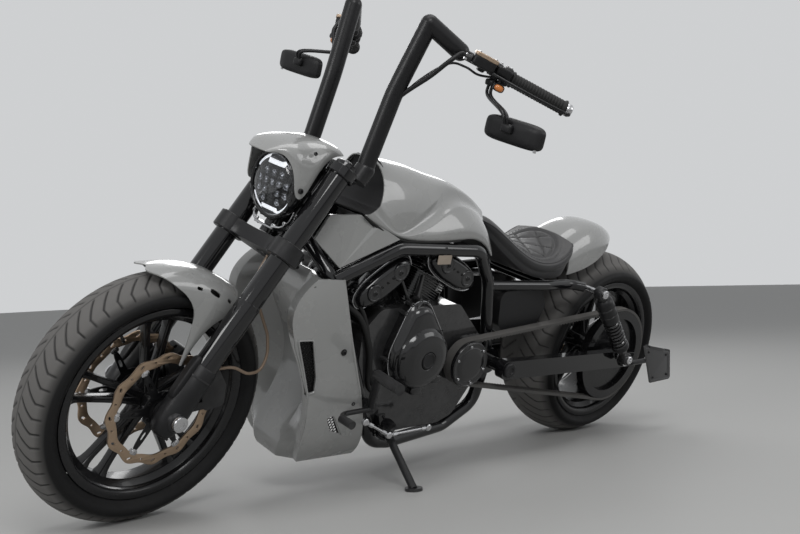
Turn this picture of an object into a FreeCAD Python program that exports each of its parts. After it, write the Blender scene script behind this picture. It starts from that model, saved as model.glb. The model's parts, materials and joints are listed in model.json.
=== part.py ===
import FreeCAD, Part
import math
import os
from FreeCAD import Placement, Rotation, Vector

# A long, low power cruiser with tall bars, leaning on its side stand.
# It is drawn upright and straight ahead: X forward, Y to its left, Z up, the origin below the
# rear axle. The steered pieces are then turned to the rest angle, and the whole leans on its stand.

# Stance
wheelbase = 1700.0
rake = 33.0
fork_offset = 60.0
lean = 18.4
rest_steer = 5.6
steering_stop = 30.0
stand_fold = 88.0

# Fits and overruns
running_gap = 0.3
seat_gap = 0.3
side_gap = 0.5
overrun = 5.0

# Wheels
front_tyre_radius = 322.0
front_tyre_width = 134.0
front_crown_radius = 68.0
rear_tyre_radius = 330.0
rear_tyre_width = 240.0
rear_crown_radius = 150.0
bead_radius = 229.0
flange_radius = 248.0
front_rim_width = 104.0
rear_rim_width = 218.0
flange_thickness = 5.0
rim_wall = 6.0
well_depth = 16.0
seat_width = 14.0
spoke_pairs = 5
spoke_width = 20.0
spoke_depth = 30.0
spoke_inner_turn = 14.0
spoke_outer_turn = 9.0

# Front hub, axle and brakes
front_axle_radius = 12.0
axle_bore_radius = 8.0
front_hub_radius = 34.0
front_hub_width = 124.0
rotor_radius = 146.0
rotor_wave = 4.0
rotor_waves = 12
rotor_band = 30.0
rotor_thickness = 5.0
rotor_place = 68.5
rotor_slot_length = 12.0
rotor_slot_width = 6.0
carrier_radius = 46.0
caliper_width = 56.0
caliper_angle = 162.0
caliper_span = 48.0
lug_turn = 15.0

# Fork
leg_spread = 110.0
leg_radius = 29.0
leg_top = 742.0
leg_foot = 105.0
casting_radius = 34.0
casting_top = 138.0
stem_radius = 15.0
lower_clamp_place = 448.0
lower_clamp_height = 46.0
upper_clamp_place = 700.0
upper_clamp_height = 26.0
clamp_wall = 13.0
head_radius = 32.0

hose_radius = 4.0
hose_rise = 8.0

# Bars, with places measured from the front axle
bar_radius = 23.0
bar_base_spread = 110.0
bar_base_rise = 36.0
bar_peak_reach = Vector(-554.0, 140.0, 990.0)
bar_knee_reach = Vector(-508.0, 116.0, 808.0)
bar_bend_reach = Vector(-621.0, 200.0, 940.0)
grip_end_reach = Vector(-834.0, 402.0, 858.0)
handle_radius = 12.7
grip_radius = 18.0
grip_length = 160.0
mirror_centre_reach = Vector(-638.0, 405.0, 788.0)
mirror_length = 176.0
mirror_height = 62.0
mirror_depth = 22.0
mirror_arm_radius = 5.0

# Lamp, with its place measured from the front axle
lamp_centre_reach = Vector(-278.0, 0.0, 536.0)
lamp_radius = 88.0
lamp_depth = 70.0
cowl_wall = 3.0
cowl_length = 243.0
cowl_half_width = 99.0
cowl_height = 180.0

# Front fender
fender_gap = 16.0
fender_wall = 4.0
fender_half_width = 80.7
fender_front = 10.0
fender_rear = 34.0
fender_drop = 74.0
stay_eye_radius = 11.0
stay_ahead = 41.0
stay_rise = 111.0

# Engine
crank_place = Vector(945.0, 0.0, 412.0)
vee_half_angle = 30.0
vee_tilt = 5.0
case_length = 560.0
case_height = 350.0
barrel_radius = 66.0
barrel_start = 118.0
barrel_length = 100.0
fin_radius = 84.0
fin_count = 14
fin_thickness = 3.0
cam_box_length = 210.0
cam_box_height = 80.0
cam_box_half_width = 108.0
cam_boss_radius = 33.0
cam_step = 6.0
cam_cover_depth = 30.0
alternator_radius = 108.0
alternator_depth = 80.0
exhaust_radius = 24.0
muffler_radius = 42.0
muffler_place = 262.0

# Final drive
belt_place = 142.0
belt_width = 28.0
belt_thickness = 8.0
tooth_pitch = 14.0
tooth_height = 3.0
rear_pulley_radius = 160.0
front_pulley_radius = 62.0
front_pulley_place = Vector(742.0, 0.0, 372.0)

# Rear suspension
swingarm_pivot = Vector(600.0, 0.0, 352.0)
arm_place = 186.0
arm_width = 30.0
arm_height = 58.0
rear_axle_radius = 13.0
rear_hub_radius = 42.0
rear_hub_width = 190.0
shock_top_place = 268.0
shock_foot = Vector(42.0, 0.0, 350.0)
shock_place = 232.0
shock_radius = 30.0
shock_inset = 34.0
rear_rotor_radius = 146.0

# Frame
tube_radius = 19.0
rear_spread = 100.0
rail_spread = 132.0
frame_bend = 70.0
lower_rail = 150.0
lower_rail_front = 990.0
lower_rail_rear = 742.0
rear_post_foot = 622.0
seat_rail_drop = 68.0
seat_rail_radius = 16.0
seat_rail_bend = 420.0
seat_rail_end = 300.0
head_tube_rise = 120.0

# Body
tank_length = 563.0
tank_half_width = 150.0
tank_height = 201.0
tank_front = 1235.0
seat_length = 368.0
seat_half_width = 140.0
seat_height = 180.0
tail_length = 282.0
tail_half_width = 112.0
tail_rise = 31.7
tail_height = 142.0
shell_wall = 4.0
battery_length = 277.0
battery_height = 145.7
shroud_top = 650.0
shroud_height = 530.0
shroud_half_width = 164.0
radiator_depth = 44.0
radiator_height = 250.0

# Foot controls
peg_mount_height = 290.0
peg_bracket_radius = 17.0
peg_bracket_length = 34.0
peg_length = 112.0
peg_radius = 15.0
peg_rise = 110.0
pedal_reach = 150.0
pedal_radius = 7.0
pedal_tip = 34.0

# Plate
plate_length = 190.0
plate_height = 160.0
plate_thickness = 3.0
plate_bracket = 9.0

# Stand
stand_pivot = Vector(1030.0, 160.0, 205.0)
stand_foot = Vector(1054.0, 367.0, 0.0)
stand_radius = 11.0
stand_pin_radius = 7.0
stand_pad_radius = 24.0
stand_pad_thickness = 8.0


def polar(radius, angle):
    """A point of the XZ plane at this distance and angle, in degrees up from straight ahead."""
    return Vector(radius * math.cos(math.radians(angle)), 0, radius * math.sin(math.radians(angle)))


def rounded_path(points, bend, closed=False):
    """A wire of straight runs joined by tangent arcs, each arc as large as its runs allow."""
    count = len(points)
    corners = []
    for i, here in enumerate(points):
        if not closed and i in (0, count - 1):
            corners.append((here, here, None))
            continue
        back = points[i - 1] - here
        ahead = points[(i + 1) % count] - here
        turn = math.pi - back.getAngle(ahead)
        if turn < math.radians(1):
            corners.append((here, here, None))
            continue
        reach = min(bend * math.tan(turn / 2), min(back.Length, ahead.Length) * 0.45)
        radius = reach / math.tan(turn / 2)
        back.normalize()
        ahead.normalize()
        middle = back + ahead
        middle.normalize()
        depth = radius / math.cos(turn / 2) - radius
        corners.append((here + back * reach, here + ahead * reach, here + middle * depth))
    edges = []
    for i in range(count):
        start, end, via = corners[i]
        if via:
            edges.append(Part.Arc(start, via, end).toShape())
        if i < count - 1 or closed:
            following = corners[(i + 1) % count][0]
            if end.distanceToPoint(following) > seat_gap / 100:
                edges.append(Part.LineSegment(end, following).toShape())
    return Part.Wire(edges)


def tube(points, radius, bend, bore=0):
    """A round bar or pipe along a path of straight runs and arcs."""
    path = rounded_path(points, bend)
    along = points[1] - points[0]

    def swept(size):
        ring = Part.Wire(Part.makeCircle(size, points[0], along))
        return path.makePipeShell([ring], True, False)
    solid = swept(radius)
    return solid.cut(swept(bore)) if bore else solid


def rod(start, end, radius):
    along = end - start
    return Part.makeCylinder(radius, along.Length, start, along)


def slab(outline, low, high, bend=0):
    """A plate with this outline in the XZ plane, from Y = low to Y = high."""
    points = [Vector(x, low, z) for x, z in outline]
    wire = rounded_path(points, bend, True) if bend else Part.makePolygon(points + points[:1])
    return Part.Face(wire).extrude(Vector(0, high - low, 0))


def turned(profile, centre):
    """A solid of revolution about the Y axis through centre, from (y, radius) points."""
    points = [Vector(0, y, r) for y, r in profile]
    face = Part.Face(Part.makePolygon(points + points[:1]))
    solid = face.revolve(Vector(0, 0, 0), Vector(0, 1, 0), 360)
    solid.translate(centre)
    return solid


def section(x, points):
    """A smooth closed section across X through (y, z) points."""
    curve = Part.BSplineCurve()
    curve.interpolate([Vector(x, y, z) for y, z in points], PeriodicFlag=True)
    return Part.Wire(curve.toShape())


def creased(x, points):
    """A closed section across X with straight sides between (y, z) points."""
    corners = [Vector(x, y, z) for y, z in points]
    return Part.makePolygon(corners + corners[:1])


def loft(wires, ruled=False):
    return Part.makeLoft(wires, True, ruled)


def joined(solids):
    body = solids[0].multiFuse(solids[1:]) if len(solids) > 1 else solids[0]
    return body.removeSplitter()


def mirrored(shape):
    return shape.mirror(Vector(0, 0, 0), Vector(0, 1, 0))


# Reference points and frames

front_centre = Vector(wheelbase, 0, front_tyre_radius)
rear_centre = Vector(0, 0, rear_tyre_radius)
rake_turn = Rotation(Vector(0, 1, 0), -rake)
fork_up = rake_turn.multVec(Vector(0, 0, 1))
fork_ahead = rake_turn.multVec(Vector(1, 0, 0))
fork_origin = front_centre - fork_ahead * fork_offset
fork_place = Placement(fork_origin, rake_turn)
bar_peak = front_centre + bar_peak_reach
bar_knee = front_centre + bar_knee_reach
bar_bend = front_centre + bar_bend_reach
grip_end = front_centre + grip_end_reach
mirror_centre = front_centre + mirror_centre_reach
lamp_centre = front_centre + lamp_centre_reach

# Seats: what rests on or between other pieces takes its place from them

down_top = Vector(1284.0, rail_spread, 640.0)
down_low = Vector(1100.0, rail_spread, 252.0)
rail_front = Vector(1076.0, rail_spread, 722.0)
rail_rear = Vector(760.0, rail_spread, 711.0)
post_top = Vector(662.0, rear_spread, 606.0)
seat_rail_height = rear_tyre_radius * 2 - seat_rail_drop
shock_top = Vector(shock_top_place, 0.0, seat_rail_height)
case_half_width = rail_spread - tube_radius - seat_gap
tank_base = rail_front.z + tube_radius + seat_gap
seat_front = tank_front - tank_length - seat_gap
seat_base = seat_rail_height + seat_rail_radius + seat_gap
tail_base = seat_base + tail_rise
tail_front = seat_front - seat_length - seat_gap
handle_along = grip_end - bar_bend
handle_along.normalize()
grip_start = grip_end - handle_along * grip_length

def in_fork(shape):
    """Puts a piece drawn on the steering axis, Z along the axis and X ahead, on the upright bike."""
    placed = shape.copy()
    placed.Placement = fork_place.multiply(placed.Placement)
    return placed


def crown_low(centre, axle, radius, crown):
    """Height of a tyre's lowest point, from its centre and the direction of its axle."""
    return centre.z - (radius - crown) * math.sqrt(1 - axle.z ** 2) - crown


def rest_placements():
    """The steer at rest, and the lean that sets both tyres on the floor."""
    turn = Rotation(fork_up, rest_steer)
    steer = Placement(fork_origin - turn.multVec(fork_origin), turn)
    tilt = Rotation(Vector(1, 0, 0), -lean)
    steered_centre = steer.multVec(front_centre)
    steered_axle = turn.multVec(Vector(0, 1, 0))
    pitch = 0.0
    for _ in range(4):
        stance = Rotation(Vector(0, 1, 0), pitch).multiply(tilt)
        front_low = crown_low(stance.multVec(steered_centre), stance.multVec(steered_axle),
                              front_tyre_radius, front_crown_radius)
        rear_low = crown_low(stance.multVec(rear_centre), stance.multVec(Vector(0, 1, 0)),
                             rear_tyre_radius, rear_crown_radius)
        pitch += math.degrees(math.asin((front_low - rear_low) / wheelbase))
    stance = Rotation(Vector(0, 1, 0), pitch).multiply(tilt)
    rear_low = crown_low(stance.multVec(rear_centre), stance.multVec(Vector(0, 1, 0)),
                         rear_tyre_radius, rear_crown_radius)
    return steer, Placement(Vector(0, 0, -rear_low), stance)


steer_place, lean_place = rest_placements()


# Wheels

def tyre(centre, radius, width, crown, rim_width):
    bead = rim_width / 2 - flange_thickness - running_gap
    shoulder = width * 0.44
    shoulder_radius = radius - crown + math.sqrt(crown ** 2 - shoulder ** 2)
    base = bead_radius + seat_gap
    wall_start = flange_radius + seat_gap
    bulge = (shoulder_radius * 0.55 + wall_start * 0.45)

    def at(y, r):
        return Vector(0, y, r)
    edges = [
        Part.LineSegment(at(-bead, base), at(bead, base)).toShape(),
        Part.LineSegment(at(bead, base), at(bead, wall_start)).toShape(),
        Part.Arc(at(bead, wall_start), at(width / 2, bulge), at(shoulder, shoulder_radius)).toShape(),
        Part.Arc(at(shoulder, shoulder_radius), at(0, radius), at(-shoulder, shoulder_radius)).toShape(),
        Part.Arc(at(-shoulder, shoulder_radius), at(-width / 2, bulge), at(-bead, wall_start)).toShape(),
        Part.LineSegment(at(-bead, wall_start), at(-bead, base)).toShape(),
    ]
    solid = Part.Face(Part.Wire(edges)).revolve(Vector(0, 0, 0), Vector(0, 1, 0), 360)
    solid.translate(centre)
    return solid


def spoke(inner, outer, start_angle, end_angle):
    """One tapered spoke from the hub to the rim, between two angles."""
    wires = []
    for radius, angle, share in ((inner, start_angle, 1.25), (outer, end_angle, 0.85)):
        middle = polar(radius, angle)
        across = Vector(-math.sin(math.radians(angle)), 0, math.cos(math.radians(angle)))
        half = across * (spoke_width * share / 2)
        deep = Vector(0, spoke_depth * share / 2, 0)
        corners = [middle - half - deep, middle + half - deep, middle + half + deep, middle - half + deep]
        wires.append(Part.makePolygon(corners + corners[:1]))
    return loft(wires, True)


def rim(centre, width, hub_radius, hub_width, axle_radius):
    half = width / 2
    inner = half - flange_thickness
    well = bead_radius - well_depth
    outer_line = [(-half, flange_radius), (-inner, flange_radius), (-inner, bead_radius),
                  (-inner + seat_width, bead_radius), (-inner + seat_width * 2, well)]
    inner_line = [(half, bead_radius - rim_wall), (inner - seat_width, bead_radius - rim_wall),
                  (inner - seat_width * 2, well - rim_wall)]
    profile = outer_line + [(-y, r) for y, r in reversed(outer_line)]
    profile += inner_line + [(-y, r) for y, r in reversed(inner_line)]
    barrel = turned(profile, Vector(0, 0, 0))
    hub = Part.makeCylinder(hub_radius, hub_width, Vector(0, -hub_width / 2, 0), Vector(0, 1, 0))
    spokes = []
    for i in range(spoke_pairs):
        middle = 360 / spoke_pairs * i + 90
        for side in (-1, 1):
            spokes.append(spoke(hub_radius * 0.8, well - rim_wall / 2, middle + side * spoke_inner_turn,
                                middle + side * spoke_outer_turn))
    solid = joined([barrel, hub] + spokes)
    bore = axle_radius + running_gap
    solid = solid.cut(Part.makeCylinder(bore, hub_width + overrun, Vector(0, -(hub_width + overrun) / 2, 0),
                                        Vector(0, 1, 0)))
    solid.translate(centre)
    return solid


def slot_cutter(middle, through, along, length, width, depth):
    """A round-ended bar that cuts a slot: long along one direction, pushed both ways through the middle."""
    through, along = Vector(through), Vector(along)
    through.normalize()
    along.normalize()
    across = through.cross(along)
    start = middle - through * depth
    corners = [start + along * (u * length / 2) + across * (v * width / 2)
               for u, v in ((-1, -1), (1, -1), (1, 1), (-1, 1))]
    return Part.Face(rounded_path(corners, width / 2, True)).extrude(through * (depth * 2))


def wave_ring(radius, band, place, centre):
    """A brake rotor whose rims are gentle waves, radius plus a small cosine of the angle, with a slot in each."""
    faces = []
    for base in (radius - rotor_wave, radius - band):
        steps = rotor_waves * 6
        points = []
        for i in range(steps):
            angle = 360 / steps * i
            points.append(polar(base + rotor_wave * math.cos(math.radians(angle * rotor_waves)), angle))
        curve = Part.BSplineCurve()
        curve.interpolate(points, PeriodicFlag=True)
        faces.append(Part.Face(Part.Wire(curve.toShape())))
    ring = faces[0].cut(faces[1]).extrude(Vector(0, rotor_thickness, 0))
    middle = Vector(0, rotor_thickness / 2, 0)
    slots = []
    for i in range(rotor_waves):
        angle = 360 / rotor_waves * i
        slots.append(slot_cutter(polar(radius - band * 0.42, angle) + middle, Vector(0, 1, 0), polar(1, angle + 60),
                                 rotor_slot_length, rotor_slot_width, rotor_thickness))
    ring = ring.cut(Part.makeCompound(slots))
    ring.translate(centre + Vector(0, place - rotor_thickness / 2, 0))
    return ring


def carrier(radius, place, centre, bore):
    """The rotor's star: a hub ring with arms out to the wave ring."""
    start = place - rotor_thickness / 2
    arms = [Part.makeCylinder(carrier_radius, rotor_thickness, Vector(0, start, 0), Vector(0, 1, 0))]
    for i in range(spoke_pairs):
        angle = 360 / spoke_pairs * i
        arm = Part.makeBox(radius, rotor_thickness, spoke_width, Vector(0, start, -spoke_width / 2))
        arm.rotate(Vector(0, 0, 0), Vector(0, 1, 0), angle)
        arms.append(arm)
    star = joined(arms).cut(Part.makeCylinder(bore, rotor_thickness * 2,
                                              Vector(0, start - rotor_thickness / 2, 0), Vector(0, 1, 0)))
    star.translate(centre)
    return star


def rotor(radius, place, centre, bore):
    ring = wave_ring(radius, rotor_band, place, centre)
    star = carrier(radius - rotor_band * 0.6, place, centre, bore)
    return ring.fuse(star)


def front_rotors():
    left = rotor(rotor_radius, rotor_place, front_centre, front_hub_radius - running_gap)
    collar_start = front_hub_width / 2 + running_gap
    collar = Part.makeCylinder(front_hub_radius, rotor_place - rotor_thickness / 2 - collar_start,
                               front_centre + Vector(0, collar_start, 0), Vector(0, 1, 0))
    bore = Part.makeCylinder(front_hub_radius * 0.6, front_hub_width,
                             front_centre, Vector(0, 1, 0))
    left = left.fuse(collar).cut(bore)
    return Part.makeCompound([left, mirrored(left)])


# Fork, in its own frame: X ahead of the steering axis, Z up along it

def fork_leg(side):
    y = leg_spread * side
    up = Vector(0, 0, 1)
    outer = Part.makeCylinder(leg_radius, leg_top - casting_top, Vector(fork_offset, y, casting_top), up)
    seam = Part.makeCylinder(leg_radius + running_gap * 4, running_gap * 30,
                             Vector(fork_offset, y, (leg_top + casting_top) * 0.36), up)
    casting = Part.makeCylinder(casting_radius, casting_top, Vector(fork_offset, y, 0), up)
    foot = Part.makeCone(casting_radius * 0.82, casting_radius, leg_foot / 2, Vector(fork_offset, y, -leg_foot / 2), up)
    boss = Part.makeCylinder(casting_radius * 0.5, casting_radius,
                             Vector(fork_offset + casting_radius * 0.6, y, casting_top * 0.8), Vector(1, 0, 0))
    lug_place = Vector(fork_offset + stay_ahead, y, stay_rise)
    lug = rod(lug_place, Vector(lug_place.x, side * (fender_half_width + seat_gap), stay_rise), stay_eye_radius * 0.9)
    leg = joined([outer, seam, casting, foot, boss, lug])
    bore = Part.makeCylinder(front_axle_radius + running_gap, leg_spread, Vector(fork_offset, y - leg_spread / 2, 0),
                             Vector(0, 1, 0))
    return in_fork(leg.cut(bore))


def clamp_plate(bottom, height, boss_radius):
    """A fork yoke: a boss round each leg, one round the stem and a web that joins them."""
    up = Vector(0, 0, height)
    outline = [Vector(fork_offset + boss_radius * 0.6, leg_spread, bottom),
               Vector(fork_offset + boss_radius * 0.1, 0, bottom),
               Vector(fork_offset + boss_radius * 0.6, -leg_spread, bottom),
               Vector(fork_offset - boss_radius * 0.8, -leg_spread, bottom),
               Vector(-head_radius, -head_radius, bottom),
               Vector(-head_radius, head_radius, bottom),
               Vector(fork_offset - boss_radius * 0.8, leg_spread, bottom)]
    solids = [Part.Face(rounded_path(outline, head_radius, True)).extrude(up)]
    for side in (-1, 1):
        solids.append(Part.makeCylinder(boss_radius, height, Vector(fork_offset, side * leg_spread, bottom)))
    plate = joined(solids)
    for side in (-1, 1):
        hole = Part.makeCylinder(leg_radius + seat_gap, height + overrun * 2,
                                 Vector(fork_offset, side * leg_spread, bottom - overrun))
        plate = plate.cut(hole)
    return plate


def lower_clamp():
    plate = clamp_plate(lower_clamp_place, lower_clamp_height, leg_radius + clamp_wall)
    stem_top = upper_clamp_place - seat_gap
    stem = Part.makeCylinder(stem_radius, stem_top - lower_clamp_place, Vector(0, 0, lower_clamp_place))
    return in_fork(joined([plate, stem]))


def upper_clamp():
    return in_fork(clamp_plate(upper_clamp_place, upper_clamp_height, leg_radius + clamp_wall * 0.7))


def head_blank():
    """The steering head before its bore: a tube with a gusset behind it."""
    bottom = lower_clamp_place + lower_clamp_height + side_gap
    length = upper_clamp_place - side_gap - bottom
    shell = Part.makeCylinder(head_radius, length, Vector(0, 0, bottom))
    gusset = Part.makeBox(head_radius * 2.2, head_radius, length * 0.7,
                          Vector(-head_radius * 2.8, -head_radius / 2, bottom + length * 0.15))
    return in_fork(joined([shell, gusset]))


def steering_head():
    return head_blank().cut(in_fork(Part.makeCylinder(stem_radius + running_gap, leg_top)))


def front_axle():
    reach = leg_spread + casting_radius + running_gap
    axle = rod(front_centre - Vector(0, reach, 0), front_centre + Vector(0, reach, 0), front_axle_radius)
    end = Vector(0, reach + clamp_wall, 0)
    heads = [rod(front_centre + Vector(0, side * reach, 0), front_centre + end * side, front_axle_radius * 1.5)
             for side in (-1, 1)]
    return joined([axle] + heads).cut(rod(front_centre - end * 2, front_centre + end * 2, axle_bore_radius))


def caliper(place, angle, radius, width):
    """A brake caliper over the rotor's rim, from its mid radius outwards."""
    inner = radius - rotor_band * 1.3
    outer = radius + rotor_band * 0.6
    half = caliper_span / 2
    points = [polar(inner, angle - half), polar(outer, angle - half * 0.8), polar(outer * 1.03, angle),
              polar(outer, angle + half * 0.8), polar(inner, angle + half)]
    outline = [(p.x, p.z) for p in points]
    body = slab(outline, place - width / 2, place + width / 2, rotor_band * 0.4)
    slot = Part.makeCylinder(radius + rotor_thickness, rotor_thickness * 2,
                             Vector(0, place - rotor_thickness, 0), Vector(0, 1, 0))
    return body.cut(slot)


def front_calipers():
    angle = caliper_angle
    parts = [caliper(rotor_place, angle, rotor_radius, caliper_width)]
    face = rotor_place + caliper_width / 2
    for turn in (-lug_turn, lug_turn):
        lug = Part.makeBox(rotor_radius * 0.7, clamp_wall, clamp_wall * 1.6,
                           Vector(rotor_radius * 0.18, face - clamp_wall, -clamp_wall * 0.8))
        lug.rotate(Vector(0, 0, 0), Vector(0, 1, 0), -(angle + turn))
        parts.append(lug)
    left = joined(parts)
    left.translate(front_centre)
    left = left.cut(fork_leg(1))
    return Part.makeCompound([left, mirrored(left)])


# Bars and controls

def bar(side):
    """A tall bar from its base on the upper clamp to a mitred peak, then the narrow handle."""
    base = fork_place.multVec(Vector(0, bar_base_spread, upper_clamp_place + upper_clamp_height + seat_gap))
    top = base + fork_up * bar_base_rise
    collar = rod(base, top, bar_radius * 1.15)
    riser = tube([top, bar_knee, bar_peak], bar_radius, bar_radius * 14)
    flare = rod(bar_peak, bar_bend, bar_radius)
    handle = rod(bar_bend, grip_end, handle_radius)
    knuckles = [Part.makeSphere(bar_radius, bar_peak), Part.makeSphere(bar_radius * 1.15, top),
                Part.makeSphere(bar_radius, bar_bend)]
    centre = base + fork_up * (bar_base_rise / 2)
    cross = rod(centre, Vector(centre.x, seat_gap, centre.z), bar_radius * 0.62)
    solid = joined([collar, riser, flare, handle, cross] + knuckles)
    return solid if side > 0 else mirrored(solid)


housing_length = 52.0
master_length = 62.0
master_depth = 40.0
master_height = 34.0
lever_radius = 6.0


def control(side):
    """Grip, switch housing, brake or clutch master cylinder, lever and a small indicator."""
    along = handle_along
    up = Vector(0, 0, 1)
    ahead = up.cross(along)
    ahead.normalize()
    ahead = ahead * -1
    start = grip_start
    grip = rod(start, grip_end + along * seat_gap, grip_radius)
    cap = rod(grip_end + along * seat_gap, grip_end + along * grip_radius, grip_radius * 0.8)
    housing_start = start - along * housing_length
    housing = rod(housing_start, start, grip_radius * 1.3)
    middle = housing_start - along * (master_length / 2)
    clamp = rod(housing_start - along * (master_length * 0.8), housing_start, grip_radius * 1.15)
    reservoir = Part.makeBox(master_length, master_depth, master_height,
                             Vector(-master_length / 2, -master_depth / 2, -master_height * 0.3))
    reservoir.Placement = Placement(middle + ahead * (grip_radius + master_depth * 0.35),
                                    Rotation(along, ahead * -1, up, "XZY"))
    lever_root = middle + ahead * (grip_radius + master_depth * 0.5)
    lever_tip = grip_end + ahead * (grip_radius * 2.6)
    knee = lever_root + along * (master_length * 0.9) + ahead * lever_radius * 2
    lever = tube([lever_root, knee, lever_tip], lever_radius, master_length)
    stalk_foot = housing_start + along * (housing_length * 0.4)
    stalk_end = stalk_foot + ahead * (grip_radius * 1.9) - up * (grip_radius * 1.7)
    stalk = rod(stalk_foot, stalk_end, lever_radius)
    signal = rod(stalk_end, stalk_end + ahead * grip_radius, grip_radius * 0.7)
    solid = joined([grip, cap, housing, clamp, reservoir, lever, stalk, signal])
    solid = solid.cut(rod(bar_bend, grip_end + along * (seat_gap / 2), handle_radius + seat_gap / 2))
    return solid if side > 0 else mirrored(solid)


def mirror(side):
    half = mirror_length / 2
    inner = Part.makeBox(mirror_depth, mirror_length, mirror_height)
    inner.translate(mirror_centre - Vector(mirror_depth / 2, half, mirror_height / 2))
    inner = inner.makeFillet(mirror_depth * 0.3, inner.Edges)
    along = handle_along
    drop = grip_radius * 1.3 / math.sqrt(1 - along.z ** 2) + mirror_arm_radius * abs(along.z) * 1.1 + seat_gap
    root = grip_start - along * (housing_length * 0.75) - Vector(0, 0, drop)
    elbow = root - Vector(0, 0, mirror_height * 0.5)
    head = mirror_centre + Vector(mirror_depth * 0.9, -half * 0.5, 0)
    arm = tube([root, elbow, head, head - Vector(mirror_depth * 0.9, 0, 0)], mirror_arm_radius, mirror_height)
    solid = joined([inner, arm])
    return solid if side > 0 else mirrored(solid)


# Lamp and front body

def headlamp():
    ring = lamp_radius
    depth = lamp_depth
    profile = [(0, 0), (0, ring), (-depth * 0.16, ring), (-depth * 0.3, ring * 0.9),
               (-depth * 0.75, ring * 0.66), (-depth, ring * 0.4), (-depth, 0)]
    points = [Vector(x, 0, r) for x, r in profile]
    face = Part.Face(Part.makePolygon(points + points[:1]))
    shell = face.revolve(Vector(0, 0, 0), Vector(1, 0, 0), 360)
    shell.translate(lamp_centre)
    post_top = lamp_centre + Vector(-depth * 0.5, 0, -ring * 0.6)
    foot_place = Vector(fork_offset * 0.9, 0, lower_clamp_place + lower_clamp_height / 2)
    below = in_fork(Part.makeCylinder(ring, lower_clamp_height, foot_place - Vector(0, 0, lower_clamp_height / 2 - seat_gap)))
    post = rod(fork_place.multVec(foot_place), post_top, clamp_wall).cut(below)
    reach = Vector(0, cowl_half_width, 0)
    ears = rod(lamp_centre - Vector(depth * 0.5, 0, 0) - reach, lamp_centre - Vector(depth * 0.5, 0, 0) + reach,
               clamp_wall * 0.6).common(cowl_hollow())
    return joined([shell, post, ears])


cowl_front = lamp_centre.x + lamp_radius * 0.94
cowl_base = lamp_centre.z - lamp_radius * 0.52
cowl_station_shares = [
    # back, half width, base, top
    (0.00, 0.40, 0.0, 0.78),
    (0.20, 0.88, 0.0, 0.955),
    (0.38, 0.98, 0.0, 0.985),
    (0.50, 0.91, 0.0, 0.98),
    (0.64, 0.79, 0.0, 0.97),
    (0.82, 0.73, 0.0, 0.93),
    (1.00, 0.66, 0.0, 0.86),
]
cowl_edge_shares = [
    # back and up along the cowl's lower edge, from the tip over the lamp round the lobe beside it
    (-0.02, 0.690),
    (0.10, 0.728),
    (0.30, 0.720),
    (0.46, 0.530),
    (0.40, 0.370),
    (0.30, 0.275),
    (0.33, 0.105),
    (0.45, 0.020),
    (0.60, 0.110),
    (0.72, 0.540),
    (0.84, 0.740),
    (1.02, 0.810),
    (1.02, 1.10),
    (-0.02, 1.10),
]


def cowl_section(share, width, low, top, wall):
    x = cowl_front - cowl_length * share
    half = cowl_half_width * width - wall
    z_low = cowl_base + cowl_height * low - (overrun if wall else 0)
    z_top = cowl_base + cowl_height * top - wall
    rise = z_top - z_low
    side = [(half * 0.80, z_low), (half, z_low + rise * 0.45), (half * 0.66, z_low + rise * 0.85)]
    points = [(-y, z) for y, z in side] + [(0, z_top)] + side[::-1]
    curve = Part.BSplineCurve()
    curve.interpolate([Vector(x, y, z) for y, z in points])
    base_line = Part.LineSegment(Vector(x, points[-1][0], points[-1][1]), Vector(x, points[0][0], points[0][1]))
    return Part.Wire([curve.toShape(), base_line.toShape()])


def cowl_hollow():
    return loft([cowl_section(*row, cowl_wall) for row in cowl_station_shares])


def lamp_cowl():
    """A thin hood over the lamp, its lower edge swept up at front and back round a lobe at each side."""
    outer = loft([cowl_section(*row, 0) for row in cowl_station_shares])
    edge = [(cowl_front - cowl_length * u, cowl_base + cowl_height * v) for u, v in cowl_edge_shares]
    reach = fork_offset + leg_radius + clamp_wall + side_gap
    top = upper_clamp_place + upper_clamp_height + side_gap
    clamps = in_fork(Part.makeBox(reach * 2, cowl_half_width * 3, top, Vector(-reach, -cowl_half_width * 1.5, 0)))
    hood = outer.cut(cowl_hollow()).common(slab(edge, -cowl_half_width, cowl_half_width, cowl_height * 0.3))
    return hood.cut(clamps)


fender_profile_shares = [
    # share of the half width, share of the drop from the crown
    (0.0, 0.0),
    (0.36, 0.03),
    (0.64, 0.17),
    (0.86, 0.42),
    (0.97, 0.72),
    (1.0, 1.0),
]
fender_skirt_shares = [
    # share of the tyre's radius, angle behind the top
    (0.945, -3.0),
    (0.890, 3.6),
    (0.815, 8.2),
    (0.735, 10.6),
    (0.510, 10.4),
    (0.350, 8.0),
    (0.350, 18.0),
    (0.510, 19.0),
    (0.735, 26.4),
    (0.815, 31.0),
    (0.890, 34.0),
    (0.945, 34.0),
]
fender_vent_shares = [
    # angle behind the top, then shares of the tyre's radius: place, length and height
    (10.0, 0.950, 0.053, 0.026),
    (19.0, 0.941, 0.106, 0.040),
    (28.0, 0.932, 0.048, 0.028),
]


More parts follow.
